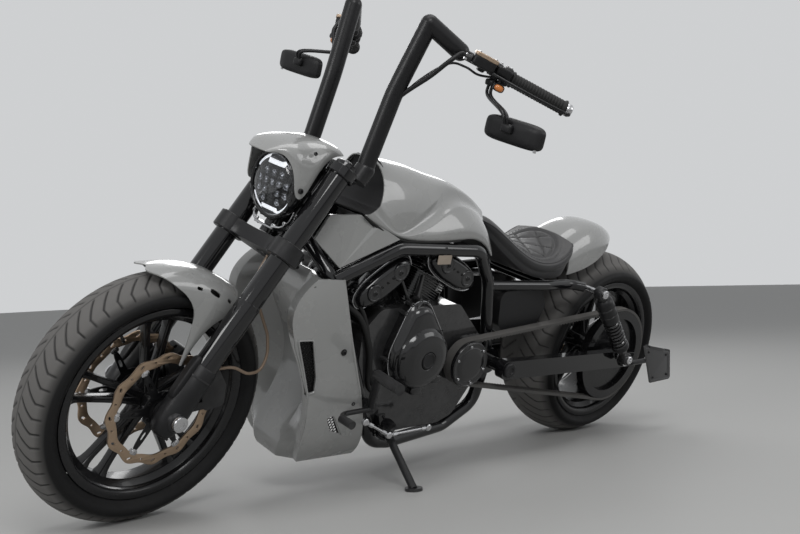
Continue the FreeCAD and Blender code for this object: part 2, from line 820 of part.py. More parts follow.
def front_fender():
    """A curved blade over the tyre, with vented shoulders and sides that narrow into a stay to each fork leg."""
    lines = []
    for grow in (fender_wall, 0):
        crown = front_tyre_radius + fender_gap + grow
        half = fender_half_width - fender_wall + grow
        right = [Vector(0, half * u, crown - fender_drop * v) for u, v in fender_profile_shares]
        curve = Part.BSplineCurve()
        curve.interpolate([Vector(0, -p.y, p.z) for p in reversed(right[1:])] + right)
        lines.append(curve.toShape())
    ends = [line.Vertexes for line in lines]
    sides = [Part.LineSegment(ends[0][i].Point, ends[1][i].Point).toShape() for i in (0, -1)]
    face = Part.Face(Part.Wire([lines[0], sides[1], lines[1], sides[0]]))
    face.rotate(Vector(0, 0, 0), Vector(0, 1, 0), fender_front)
    solids = [face.revolve(Vector(0, 0, 0), Vector(0, 1, 0), -(fender_front + fender_rear))]
    edge = [polar(front_tyre_radius * share, 90 + angle) for share, angle in fender_skirt_shares]
    for side in (-1, 1):
        near, far = sorted((side * (fender_half_width - fender_wall), side * fender_half_width))
        solids.append(slab([(p.x, p.z) for p in edge], near, far, stay_eye_radius))
        foot = fork_place.multVec(Vector(fork_offset + stay_ahead, 0, stay_rise)) - front_centre
        solids.append(rod(foot + Vector(0, near, 0), foot + Vector(0, far, 0), stay_eye_radius))
    fender = joined(solids)
    for angle, place, length, height in fender_vent_shares:
        for side in (-1, 1):
            outward = polar(1, 90 + angle)
            middle = polar(front_tyre_radius * place, 90 + angle) + Vector(0, side * fender_half_width * 0.86, 0)
            fender = fender.cut(slot_cutter(middle, outward * 0.55 + Vector(0, side * 0.83, 0), polar(1, 180 + angle),
                                            front_tyre_radius * length, front_tyre_radius * height, fender_drop * 0.3))
    fender.translate(front_centre)
    return fender


hose_place_shares = [
    # ahead of the front axle, to the left and up, as shares of the tyre's radius
    (-0.5652, 0.2609, 0.2857),
    (-0.7143, 0.2671, 0.2050),
    (-0.8571, 0.2484, 0.1988),
    (-0.9255, 0.2236, 0.3230),
    (-0.9006, 0.2050, 0.4907),
    (-0.8137, 0.1925, 0.6584),
    (-0.7267, 0.1863, 0.8261),
    (-0.7081, 0.1708, 0.9876),
]


def brake_hose():
    """The left caliper's hose: back, round in a loop and up to the underside of the lower clamp."""
    start = front_centre + polar(rotor_radius + rotor_band * 0.68, caliper_angle - 14)
    start = start + Vector(0, rotor_place + hose_rise, 0)
    end = fork_place.multVec(Vector(fork_offset * 0.75, leg_spread * 0.45, lower_clamp_place - seat_gap))
    route = [front_centre + Vector(*shares) * front_tyre_radius for shares in hose_place_shares]
    return tube([start] + route + [end], hose_radius, hose_radius * 15)


# Engine and drive

def engine_axis(sign):
    angle = math.radians(vee_tilt + vee_half_angle * sign)
    return Vector(math.sin(angle), 0, math.cos(angle))


def crankcase():
    floor = lower_rail + tube_radius + seat_gap
    low_shares = [(-0.52, 0.50), (-0.40, 0.92), (-0.30, 1.0), (0.10, 1.0), (0.26, 0.86), (0.32, 0.52)]
    high_shares = [(0.34, 0.20), (0.24, 0.38), (-0.30, 0.38), (-0.54, 0.02)]
    outline = [(crank_place.x + case_length * u, crank_place.z - (crank_place.z - floor) * v) for u, v in low_shares]
    outline += [(crank_place.x + case_length * u, crank_place.z + case_height * v) for u, v in high_shares]
    return slab(outline, -case_half_width, case_half_width, case_height * 0.12)


def cylinder(sign):
    axis = engine_axis(sign)
    solids = [Part.makeCylinder(barrel_radius, barrel_start + barrel_length - running_gap,
                                crank_place, axis)]
    pitch = barrel_length / fin_count
    for i in range(fin_count):
        at = crank_place + axis * (barrel_start + pitch * (i + 0.4))
        solids.append(Part.makeCylinder(fin_radius, fin_thickness, at, axis))
    return joined(solids)


def cylinders():
    solids = []
    case = crankcase()
    for sign in (-1, 1):
        solids.append(cylinder(sign).cut(case))
    return Part.makeCompound(solids)


def cam_box(sign):
    """A round-ended box over the head, with a raised cover at each side and two round bosses on it."""
    axis = engine_axis(sign)
    start = barrel_start + barrel_length
    half = cam_box_length / 2
    across = Vector(axis.z, 0, -axis.x)
    solids = []
    for share, reach in ((1.0, cam_box_half_width - cam_step), (0.9, cam_box_half_width)):
        outline = []
        for u, v in ((-share, 0.5 - share / 2), (share, 0.5 - share / 2), (share, 0.5 + share / 2), (-share, 0.5 + share / 2)):
            p = crank_place + across * (half * u) + axis * (start + cam_box_height * v)
            outline.append((p.x, p.z))
        solids.append(slab(outline, -reach, reach, cam_box_height * share * 0.45))
    for u in (-0.48, 0.48):
        middle = crank_place + across * (half * u) + axis * (start + cam_box_height * 0.44)
        for side in (-1, 1):
            face = middle + Vector(0, side * (cam_box_half_width - overrun), 0)
            solids.append(rod(face, face + Vector(0, side * (cam_cover_depth + overrun), 0), cam_boss_radius))
    return joined(solids)


def cam_covers():
    return Part.makeCompound([cam_box(sign) for sign in (-1, 1)])


def alternator_cover():
    face = case_half_width + seat_gap
    profile = [(0, 0), (0, 1.0), (0.45, 1.0), (0.8, 0.86), (1.0, 0.6), (1.0, 0)]
    lower = turned([(alternator_depth * u, alternator_radius * v) for u, v in profile],
                   crank_place + Vector(0, face, 0))
    neck_shares = [(-0.62, 0.2), (0.62, 0.2), (0.44, 1.35), (-0.2, 1.45), (-0.5, 1.1)]
    neck = slab([(crank_place.x + alternator_radius * u, crank_place.z + alternator_radius * v)
                 for u, v in neck_shares], face, face + alternator_depth * 0.6, alternator_radius * 0.2)
    return joined([lower, neck])


def clutch_cover():
    face = -(case_half_width + seat_gap)
    profile = [(0, 0), (0, 1.0), (-0.5, 1.0), (-0.9, 0.84), (-1.0, 0.7), (-1.0, 0)]
    middle = crank_place + Vector(-alternator_radius * 0.7, face, -alternator_radius * 0.1)
    return turned([(alternator_depth * u, alternator_radius * 1.2 * v) for u, v in profile], middle)


def belt_outline(grow):
    """The belt's loop round both pulleys, drawn as two arcs and their tangent lines."""
    front, rear = front_pulley_place, Vector(rear_centre)
    r1, r2 = front_pulley_radius + grow, rear_pulley_radius + grow
    gap = front - rear
    distance = gap.Length
    slope = math.atan2(gap.z, gap.x)
    spread = math.acos((r2 - r1) / distance)

    def at(centre, radius, angle):
        return centre + Vector(radius * math.cos(angle), 0, radius * math.sin(angle))
    top, low = slope + spread, slope - spread
    edges = [Part.Arc(at(front, r1, low), at(front, r1, slope), at(front, r1, top)).toShape(),
             Part.LineSegment(at(front, r1, top), at(rear, r2, top)).toShape(),
             Part.Arc(at(rear, r2, top), at(rear, r2, slope + math.pi), at(rear, r2, low)).toShape(),
             Part.LineSegment(at(rear, r2, low), at(front, r1, low)).toShape()]
    return Part.Wire(edges)


def belt_teeth(start, end, inward):
    """The inner line of one straight run of the belt: a row of tapered teeth between two pulleys."""
    run = end - start
    count = int(run.Length / tooth_pitch) - 6
    along = Vector(run)
    along.normalize()
    margin = (run.Length - count * tooth_pitch) / 2
    points = [start]
    for i in range(count):
        foot = start + along * (margin + tooth_pitch * i)
        for share, rise in ((0.22, 0), (0.34, 1), (0.66, 1), (0.78, 0)):
            points.append(foot + along * (tooth_pitch * share) + inward * (tooth_height * rise))
    return points + [end]


def drive_belt():
    """The toothed belt: a smooth loop outside, its teeth standing inwards along both straight runs."""
    inside = running_gap * 2
    outer = Part.Face(belt_outline(belt_thickness + inside))
    wire = belt_outline(inside)
    arcs = [edge for edge in wire.Edges if isinstance(edge.Curve, Part.Circle)]
    runs = [edge for edge in wire.Edges if not isinstance(edge.Curve, Part.Circle)]
    middle = (rear_centre + Vector(front_pulley_place)) * 0.5
    edges = list(arcs)
    for run in runs:
        start, end = run.Vertexes[0].Point, run.Vertexes[-1].Point
        inward = Vector(0, 1, 0).cross(end - start)
        inward.normalize()
        if inward.dot(middle - (start + end) * 0.5) < 0:
            inward = inward * -1
        line = belt_teeth(start, end, inward)
        edges += [Part.LineSegment(a, b).toShape() for a, b in zip(line, line[1:])]
    inner = Part.Face(Part.Wire(Part.__sortEdges__(edges)))
    belt = outer.cut(inner).extrude(Vector(0, belt_width, 0))
    belt.translate(Vector(0, belt_place - belt_width / 2, 0))
    return belt


def front_pulley():
    wheel = Part.makeCylinder(front_pulley_radius, belt_width, front_pulley_place + Vector(0, belt_place - belt_width / 2, 0),
                              Vector(0, 1, 0))
    shaft_start = case_half_width + seat_gap
    shaft = Part.makeCylinder(front_pulley_radius * 0.3, belt_place + belt_width / 2 + seat_gap - shaft_start,
                              front_pulley_place + Vector(0, shaft_start, 0), Vector(0, 1, 0))
    return joined([wheel, shaft])


def pulley_cover():
    start = belt_place + belt_width / 2 + side_gap
    radius = front_pulley_radius + belt_thickness
    cap = Part.makeCylinder(radius, clamp_wall, front_pulley_place + Vector(0, start, 0), Vector(0, 1, 0))
    rim_ring = Part.makeCylinder(radius * 0.86, clamp_wall * 1.4, front_pulley_place + Vector(0, start, 0), Vector(0, 1, 0))
    return joined([cap, rim_ring])


def exhaust():
    """Header pipes on the right that run back into two stacked mufflers."""
    solids = []
    for sign, rise, start_share in ((1, -1.45, 0.42), (-1, -3.55, 0.50)):
        axis = engine_axis(sign)
        port = crank_place + axis * (barrel_start + barrel_length + cam_box_height * 0.2)
        port = Vector(port.x, -(cam_box_half_width + cam_cover_depth + seat_gap), port.z)
        out = Vector(port.x, -muffler_place, port.z)
        level = rear_tyre_radius + muffler_radius * rise
        start = Vector(crank_place.x - case_length * start_share, -muffler_place, level)
        drop = Vector(start.x + exhaust_radius * 7, -muffler_place, level + exhaust_radius * 1.2)
        solids.append(tube([port, out, drop, start], exhaust_radius, exhaust_radius * 3))
        end = Vector(-rear_tyre_radius * 0.5, -muffler_place, level + exhaust_radius * 0.4)
        solids.append(rod(start, end, muffler_radius))
    strap = rod(solids[1].CenterOfMass, solids[3].CenterOfMass, exhaust_radius * 0.6)
    return joined(solids + [strap])


def radiator_place(height):
    """A point on the line that the radiator and its shroud lean along, parallel to the down tubes."""
    share = (height - down_low.z) / (down_top.z - down_low.z)
    return Vector(down_low.x + (down_top.x - down_low.x) * share + radiator_depth * 0.5, 0, height)


def radiator():
    middle = shroud_top - shroud_height * 0.40
    low, high = radiator_place(middle - radiator_height / 2), radiator_place(middle + radiator_height / 2)
    half = radiator_depth / 2
    outline = [(low.x - half, low.z), (low.x + half, low.z), (high.x + half, high.z), (high.x - half, high.z)]
    return slab(outline, -case_half_width, case_half_width)


shroud_station_shares = [
    # drop, middle, front and back along X, half width
    (0.00, 0.40, 0.53, 0.26, 1.00),
    (0.30, 0.32, 0.70, 0.04, 1.00),
    (0.62, 0.20, 0.42, -0.22, 1.00),
    (0.88, 0.42, 0.38, -0.38, 0.90),
    (1.00, 0.40, 0.28, -0.42, 0.66),
]
shroud_depth = 260.0
shroud_back = 1205.0


def shroud_section(drop, centre, front, back, width, wall):
    """A U open to the rear: hollow at the middle, prows at both sides."""
    z = shroud_top - shroud_height * drop
    base = shroud_back
    half = shroud_half_width * width
    front_x = base + shroud_depth * front
    centre_x = base + shroud_depth * centre
    back_x = base + shroud_depth * back
    inset = wall * 1.5
    points = [Vector(back_x, half - wall, z), Vector(back_x, half, z), Vector(front_x, half * 0.9, z),
              Vector(front_x - wall, half * 0.72, z), Vector(centre_x, half * 0.42, z),
              Vector(centre_x, -half * 0.42, z), Vector(front_x - wall, -half * 0.72, z),
              Vector(front_x, -half * 0.9, z), Vector(back_x, -half, z), Vector(back_x, -half + wall, z),
              Vector(front_x - inset * 2, -half * 0.9 + wall, z), Vector(front_x - inset * 2.4, -half * 0.74, z),
              Vector(centre_x - inset, -half * 0.46, z), Vector(centre_x - inset, half * 0.46, z),
              Vector(front_x - inset * 2.4, half * 0.74, z), Vector(front_x - inset * 2, half * 0.9 - wall, z)]
    return Part.makePolygon(points + points[:1])


shroud_window_shares = [
    # each window's corners: ahead of the shroud's back and down from its top, as shares of its depth and height
    [(0.66, 0.30), (0.49, 0.30), (0.37, 0.50), (0.36, 0.575), (0.44, 0.585), (0.52, 0.48)],
    [(0.15, 0.73), (0.07, 0.715), (-0.09, 0.835), (0.07, 0.81)],
]


def radiator_shroud():
    """Two prows beside a hollow front, with a tall window and a low one in each side."""
    shroud = loft([shroud_section(*row, shell_wall) for row in shroud_station_shares])
    for shares in shroud_window_shares:
        outline = [(shroud_back + shroud_depth * u, shroud_top - shroud_height * v) for u, v in shares]
        for side in (-1, 1):
            near, far = sorted((side * shroud_half_width * 0.8, side * (shroud_half_width + overrun)))
            shroud = shroud.cut(slab(outline, near, far))
    return shroud


# Frame

def frame_loop(side):
    """One side of the frame: down tube, lower rail and rear post, with the upper rail over the heads."""
    low = fork_place.multVec(Vector(-head_radius, 0, lower_clamp_place + head_tube_rise))
    pivot = swingarm_pivot + Vector(0, rear_spread, 0)
    cradle = [low, down_top, down_low,
              Vector((down_low.x + lower_rail_front) / 2 + tube_radius * 0.6, rail_spread, lower_rail + tube_radius * 0.6),
              Vector(lower_rail_front, rail_spread, lower_rail), Vector(lower_rail_rear, rear_spread, lower_rail),
              Vector(rear_post_foot, rear_spread, (lower_rail + pivot.z) / 2 - tube_radius * 2), pivot]
    rail = [down_top, rail_front, rail_rear, post_top, pivot]
    solids = [tube(cradle, tube_radius, frame_bend), tube(rail, tube_radius, frame_bend)]
    boss = arm_height * 0.36 + tube_radius
    solids.append(rod(pivot - Vector(0, tube_radius, 0), pivot + Vector(0, tube_radius, 0), boss))
    solid = solids[0].multiFuse(solids[1:])
    solid = solid.cut(rod(pivot - Vector(0, rear_spread / 2, 0), pivot + Vector(0, rear_spread / 2, 0),
                          arm_height * 0.36 + seat_gap))
    solid = solid.cut(head_blank())
    middle = Part.makeBox(wheelbase, rear_spread, wheelbase, Vector(0, -rear_spread, 0))
    solid = solid.cut(middle)
    return solid if side > 0 else mirrored(solid)


def frame_left():
    return frame_loop(1).fuse(stand_bracket())


def seat_frame():
    """Two rails under the seat back to the shocks' upper eyes, with a cross tube."""
    radius = seat_rail_radius
    solids = []
    for side in (-1, 1):
        points = [Vector(post_top.x - (post_top.z - seat_rail_height) * 0.25, side * rear_spread, seat_rail_height),
                  Vector(seat_rail_bend, side * rail_spread, seat_rail_height),
                  Vector(seat_rail_end, side * rail_spread, seat_rail_height),
                  Vector(shock_top.x, side * (rail_spread + shock_inset), shock_top.z)]
        solids.append(tube(points, radius, frame_bend))
    cross = Vector(seat_rail_bend, 0, seat_rail_height)
    solids.append(rod(cross - Vector(0, rail_spread, 0), cross + Vector(0, rail_spread, 0), radius * 0.9))
    posts = [frame_loop(side) for side in (-1, 1)]
    return joined(solids).cut(posts[0]).cut(posts[1])


# Body

tank_station_shares = [
    # back, base, then half width and height of the foot's edge, lower ridge, upper ridge and shoulder, and the top
    (0.00, 0.38, 0.38, 0.42, 0.40, 0.42, 0.43, 0.34, 0.47, 0.49),
    (0.10, 0.28, 0.63, 0.70, 0.33, 0.70, 0.40, 0.48, 0.60, 0.70),
    (0.20, 0.14, 0.85, 0.94, 0.21, 0.92, 0.32, 0.60, 0.80, 1.00),
    (0.36, 0.02, 0.90, 0.96, 0.10, 0.82, 0.27, 0.62, 0.80, 0.96),
    (0.54, 0.00, 0.90, 0.82, 0.25, 0.62, 0.50, 0.50, 0.72, 0.85),
    (0.69, 0.00, 0.82, 0.66, 0.40, 0.48, 0.57, 0.34, 0.68, 0.76),
    (0.83, 0.00, 0.72, 0.64, 0.32, 0.50, 0.44, 0.34, 0.55, 0.62),
    (1.00, -0.44, 0.61, 0.66, -0.16, 0.58, 0.02, 0.40, 0.16, 0.30),
]


def tank_section(back, base, foot, low, low_rise, high, high_rise, shoulder, shoulder_rise, top):
    x = tank_front - tank_length * back
    w, h, z = tank_half_width, tank_height, tank_base
    half = [(w * foot, z + h * base), (w * low, z + h * low_rise), (w * high, z + h * high_rise),
            (w * shoulder, z + h * shoulder_rise), (w * shoulder * 0.4, z + h * top)]
    return creased(x, half + [(-y, v) for y, v in reversed(half)])


def tank_cover():
    return loft([tank_section(*row) for row in tank_station_shares])


panel_wall = 8.0
panel_corner_shares = [
    # back from the tank's front and out, as shares of its length and half width, and up as a share of its height
    (-0.0586, 0.867, -0.345),
    (0.2682, 0.913, 0.033),
    (0.1456, 0.833, 0.197),
    (0.1155, 0.787, 0.178),
    (0.0480, 0.733, 0.322),
    (-0.0355, 0.667, 0.307),
    (-0.0977, 0.573, 0.292),
    (-0.1599, 0.560, -0.031),
]
panel_facets = [(0, 1, 2), (0, 2, 3), (0, 3, 4), (0, 4, 5), (0, 5, 7), (5, 6, 7)]


def folded(corners, facets, wall):
    """A plate folded along the edges between flat triangles, as thick as the vector wall."""
    def flat(points):
        return Part.Face(Part.makePolygon(points + points[:1]))
    faces = []
    sides = {}
    for facet in facets:
        points = [corners[i] for i in facet]
        faces += [flat(points), flat([p + wall for p in points])]
        for a, b in zip(facet, facet[1:] + facet[:1]):
            if (b, a) in sides:
                del sides[(b, a)]
            else:
                sides[(a, b)] = flat([corners[a], corners[b], corners[b] + wall, corners[a] + wall])
    shell = Part.Shell(faces + list(sides.values()))
    return Part.Solid(shell)


def side_panels():
    """The grey panels that twist from beside the steering head out to the frame's rails, creased down the middle."""
    corners = [Vector(tank_front - tank_length * back, tank_half_width * out, tank_base + tank_height * up)
               for back, out, up in panel_corner_shares]
    panel = folded(corners, panel_facets, Vector(0, -panel_wall, 0)).cut(tank_cover())
    return Part.makeCompound([panel, mirrored(panel)])


seat_station_shares = [
    # back, half width, base, edge rise, top rise
    (0.00, 0.30, 0.52, 0.90, 1.00),
    (0.12, 0.50, 0.26, 0.72, 0.82),
    (0.30, 0.84, 0.06, 0.40, 0.46),
    (0.55, 1.00, 0.00, 0.28, 0.34),
    (0.80, 1.00, 0.00, 0.36, 0.44),
    (1.00, 0.88, 0.02, 0.62, 0.74),
]


def seat_section(back, width, base, edge, top):
    x = seat_front - seat_length * back
    w = seat_half_width * width
    z = seat_base
    h = seat_height
    points = [(w * 0.8, z + h * base), (w, z + h * (base + edge) / 2), (w * 0.8, z + h * edge), (0, z + h * top),
              (-w * 0.8, z + h * edge), (-w, z + h * (base + edge) / 2), (-w * 0.8, z + h * base), (0, z + h * base)]
    return section(x, points)


def seat():
    """A scooped saddle with a flat underside that rests on the seat rails."""
    pad = loft([seat_section(*row) for row in seat_station_shares])
    below = Part.makeBox(seat_length * 2, seat_half_width * 3, seat_height,
                         Vector(seat_front - seat_length * 1.5, -seat_half_width * 1.5, seat_base - seat_height))
    return pad.cut(below)


tail_station_shares = [
    (0.00, 1.00, -0.16, 0.62),
    (0.25, 1.00, -0.06, 0.86),
    (0.50, 0.96, 0.10, 0.97),
    (0.75, 0.80, 0.30, 0.92),
    (1.00, 0.44, 0.50, 0.74),
]


def tail_section(back, width, low, top, wall):
    x = tail_front - tail_length * back
    half = tail_half_width * width - wall
    z_low = tail_base + tail_height * low - (overrun if wall else 0)
    z_top = tail_base + tail_height * top - wall
    rise = z_top - z_low
    points = [(-half, z_low), (-half * 0.94, z_low + rise * 0.5), (-half * 0.6, z_low + rise * 0.9), (0, z_top),
              (half * 0.6, z_low + rise * 0.9), (half * 0.94, z_low + rise * 0.5), (half, z_low)]
    curve = Part.BSplineCurve()
    curve.interpolate([Vector(x, y, z) for y, z in points])
    base_line = Part.LineSegment(Vector(x, half, z_low), Vector(x, -half, z_low))
    return Part.Wire([curve.toShape(), base_line.toShape()])


def tail_cowl():
    outer = loft([tail_section(*row, 0) for row in tail_station_shares])
    inner = loft([tail_section(*row, shell_wall) for row in tail_station_shares[:-1]])
    return outer.cut(inner)


battery_corner_shares = [
    # back from the rear post's top and down from the seat rail, as shares of the cover's length and height
    (0.1805, 0.0),
    (0.8736, 0.0),
    (1.0, 0.3824),
    (0.8736, 0.9320),
    (0.3682, 1.0),
    (0.2383, 0.7251),
]


def battery_covers():
    """The black covers under the seat, in front of the rear wheel."""
    top = seat_rail_height - seat_rail_radius - seat_gap
    outline = [(post_top.x - battery_length * u, top - battery_height * v) for u, v in battery_corner_shares]
    cover = slab(outline, rear_spread - tube_radius * 3, rear_spread + tube_radius, frame_bend * 0.4)
    return Part.makeCompound([cover, mirrored(cover)])


# Rear end

def swingarm():
    """Two arms from the pivot tube to the rear axle, outside the belt."""
    pivot = swingarm_pivot
    solids = [rod(pivot - Vector(0, arm_place, 0), pivot + Vector(0, arm_place, 0), arm_height * 0.36)]
    low = arm_place - arm_width / 2
    half = arm_height / 2
    for side in (-1, 1):
        outline = [(pivot.x + half, pivot.z + half), (pivot.x + half, pivot.z - half),
                   (rear_centre.x - half * 2, rear_centre.z - half), (rear_centre.x - half * 2, rear_centre.z + half)]
        start, end = sorted((side * low, side * (low + arm_width)))
        solids.append(slab(outline, start, end, half * 0.7))
    arm = joined(solids)
    bore = Part.makeCylinder(rear_axle_radius + running_gap, arm_place * 3, rear_centre - Vector(0, arm_place * 1.5, 0),
                             Vector(0, 1, 0))
    return arm.cut(bore)


def rear_axle():
    reach = arm_place + arm_width / 2 + running_gap
    axle = rod(rear_centre - Vector(0, reach, 0), rear_centre + Vector(0, reach, 0), rear_axle_radius)
    end = Vector(0, reach + clamp_wall, 0)
    heads = [rod(rear_centre + Vector(0, side * reach, 0), rear_centre + end * side, rear_axle_radius * 1.5)
             for side in (-1, 1)]
    return joined([axle] + heads).cut(rod(rear_centre - end * 2, rear_centre + end * 2, axle_bore_radius))


def rear_pulley():
    low = belt_place - belt_width / 2
    disc = Part.makeCylinder(rear_pulley_radius, belt_width, rear_centre + Vector(0, low, 0), Vector(0, 1, 0))
    hollow = Part.makeCylinder(rear_pulley_radius * 0.82, belt_width * 0.6,
                               rear_centre + Vector(0, low + belt_width * 0.5, 0), Vector(0, 1, 0))
    hub_start = rear_hub_width / 2 + running_gap
    hub = Part.makeCylinder(rear_hub_radius, low - hub_start + overrun, rear_centre + Vector(0, hub_start, 0), Vector(0, 1, 0))
    bore = Part.makeCylinder(rear_axle_radius + running_gap, rear_hub_width * 2, rear_centre, Vector(0, 1, 0))
    return joined([disc.cut(hollow), hub]).cut(bore)


def rear_rotor():
    place = -(rear_hub_width / 2 + rotor_thickness / 2 + running_gap + clamp_wall * 2)
    disc = rotor(rear_rotor_radius, place, rear_centre, rear_hub_radius * 0.8)
    collar = Part.makeCylinder(rear_hub_radius, clamp_wall * 2, rear_centre + Vector(0, -rear_hub_width / 2 - running_gap, 0),
                               Vector(0, -1, 0))
    bore = Part.makeCylinder(rear_hub_radius * 0.6, rear_hub_width * 2, rear_centre, Vector(0, -1, 0))
    return disc.fuse(collar).cut(bore)


def rear_caliper():
    place = -(rear_hub_width / 2 + rotor_thickness / 2 + running_gap + clamp_wall * 2)
    angle = 10
    body = caliper(place, angle, rear_rotor_radius, caliper_width)
    foot = polar(rear_rotor_radius * 0.92, angle) + Vector(0, place - caliper_width / 2 + overrun, 0)
    lug = rod(foot, Vector(foot.x, -(arm_place - arm_width / 2 - seat_gap), foot.z), clamp_wall)
    body = body.fuse(lug)
    body.translate(rear_centre)
    return body


def rear_shocks():
    solids = []
    for side in (-1, 1):
        top = shock_top + Vector(0, side * shock_place, 0)
        foot = shock_foot + Vector(0, side * shock_place, 0)
        axis = foot - top
        axis.normalize()
        length = top.distanceToPoint(foot)
        inward = Vector(0, -side, 0)
        body = rod(top + axis * (length * 0.1), top + axis * (length * 0.78), shock_radius)
        shaft = rod(top, foot, shock_radius * 0.42)
        eyes = [rod(p - inward * clamp_wall, p + inward * clamp_wall, shock_radius * 0.62) for p in (top, foot)]
        pins = [rod(top, top + inward * (shock_place - rail_spread - shock_inset - tube_radius), shock_radius * 0.3),
                rod(foot, foot + inward * (shock_place - arm_place - arm_width / 2 - seat_gap), shock_radius * 0.3)]
        solids.append(joined([body, shaft] + eyes + pins))
    return Part.makeCompound(solids)


plate_corner_shares = [
    # back and up from the end of its arm, as shares of the plate's length and height
    (-0.22, 0.42),
    (0.72, 0.20),
    (0.98, -0.52),
    (0.30, -0.54),
]


def plate_holder():
    """A blank plate beside the left end of the rear axle, on its bracket."""
    reach = arm_place + arm_width / 2 + clamp_wall + running_gap * 2
    start = rear_centre + Vector(0, reach, 0)
    out = start + Vector(0, plate_bracket * 2, 0)
    back = out + Vector(-plate_bracket * 9, 0, 0)
    arm = tube([start, out, back], plate_bracket, plate_bracket * 2)
    outline = [(back.x - plate_length * u, back.z + plate_height * v) for u, v in plate_corner_shares]
    near = back.y + plate_bracket * 0.6
    plate = slab(outline, near, near + plate_thickness, plate_bracket)
    return joined([arm, plate])


def foot_controls():
    """A forward foot peg with its lever on each side, on brackets that stand on the down tubes."""
    mount = Vector(down_low.x + peg_bracket_radius + seat_gap * 3, rail_spread + tube_radius + seat_gap, peg_mount_height)
    reach = Vector(0, peg_bracket_length, 0)
    bracket = rod(mount, mount + reach, peg_bracket_radius)
    knee = mount + Vector(peg_length * 0.27, peg_length * 0.54, peg_rise)
    peg = rod(knee, knee + Vector(peg_length * 0.18, peg_length, peg_radius * 0.4), peg_radius)
    root = mount + Vector(pedal_radius, 0, 0)
    strut = tube([root + reach * 0.88, root + reach * 1.3 + Vector(pedal_radius, 0, peg_rise / 2), knee],
                 peg_radius * 0.73, peg_radius * 2)
    pedal_knee = mount + Vector(pedal_reach * 0.8, peg_bracket_length * 1.47, pedal_radius)
    pedal_end = mount + Vector(pedal_reach, peg_bracket_length * 2.8, pedal_radius * 2)
    lever = tube([root + reach, pedal_knee, pedal_end], pedal_radius, pedal_reach * 0.27)
    tip = rod(pedal_end - Vector(0, pedal_tip / 3, 0), pedal_end + Vector(0, pedal_tip, 0), pedal_radius * 1.6)
    left = joined([bracket, peg, strut, lever, tip])
    return Part.makeCompound([left, mirrored(left)])


# Stand

def stand_points():
    """The stand's pivot and the middle of its pad, on the upright bike."""
    back = lean_place.inverse()
    foot = lean_place.multVec(stand_foot)
    on_floor = Vector(foot.x, foot.y, stand_pad_thickness / 2)
    return stand_pivot, back.multVec(on_floor)


def stand_axis():
    """The stand's hinge is square to the leg when it is down and to the leg when it points back."""
    pivot, foot = stand_points()
    down = foot - pivot
    axis = down.cross(Vector(-1, 0, 0))
    axis.normalize()
    return axis


def stand_bracket():
    """A fork of two ears and a pin for the stand's eye, on a web that stands on the lower rail."""
    axis = stand_axis()
    pivot = stand_pivot
    half = stand_radius * 1.2 + side_gap
    ear = stand_radius * 0.8
    inward = Vector(0, -axis.z, axis.y)
    reach = pivot.y - rail_spread
    parts = []
    for sign in (-1, 1):
        middle = pivot + axis * (sign * (half + ear / 2))
        parts.append(rod(middle - axis * (ear / 2), middle + axis * (ear / 2), stand_radius * 2))
        parts.append(rod(middle, middle + inward * (reach * 1.2), ear * 0.42))
    parts.append(rod(pivot - axis * (half * 1.9), pivot + axis * (half * 1.9), stand_pin_radius))
    web = stand_radius * 3
    parts.append(Part.makeBox(web, ear, pivot.z + half * 2 - lower_rail,
                              Vector(pivot.x - web / 2, rail_spread - ear, lower_rail + overrun)))
    return joined(parts)


def side_stand():
    """The leg, drawn on the leaning bike so that its pad lies flat on the floor."""
    pivot, foot = stand_points()
    axis = stand_axis()
    eye = rod(pivot - axis * (stand_radius * 1.2), pivot + axis * (stand_radius * 1.2), stand_radius * 1.7)
    leg = rod(pivot, foot, stand_radius)
    body = lean_place.multVec(foot)
    pad = Part.makeCylinder(stand_pad_radius, stand_pad_thickness, Vector(body.x, body.y, 0))
    solid = joined([eye, leg])
    solid = placed(solid, lean_place)
    below = Part.makeBox(stand_pad_radius * 6, stand_pad_radius * 6, stand_pad_radius * 2,
                         Vector(body.x - stand_pad_radius * 3, body.y - stand_pad_radius * 3, -stand_pad_radius * 2))
    solid = solid.cut(below).fuse(pad).removeSplitter()
    hole = rod(lean_place.multVec(pivot - axis * (stand_radius * 3)), lean_place.multVec(pivot + axis * (stand_radius * 3)),
               stand_pin_radius + running_gap)
    return placed(solid.cut(hole), lean_place.inverse())


def placed(shape, place):
    moved = shape.copy()
    moved.Placement = place.multiply(moved.Placement)
    return moved


# The nodes, by the body that each rides on

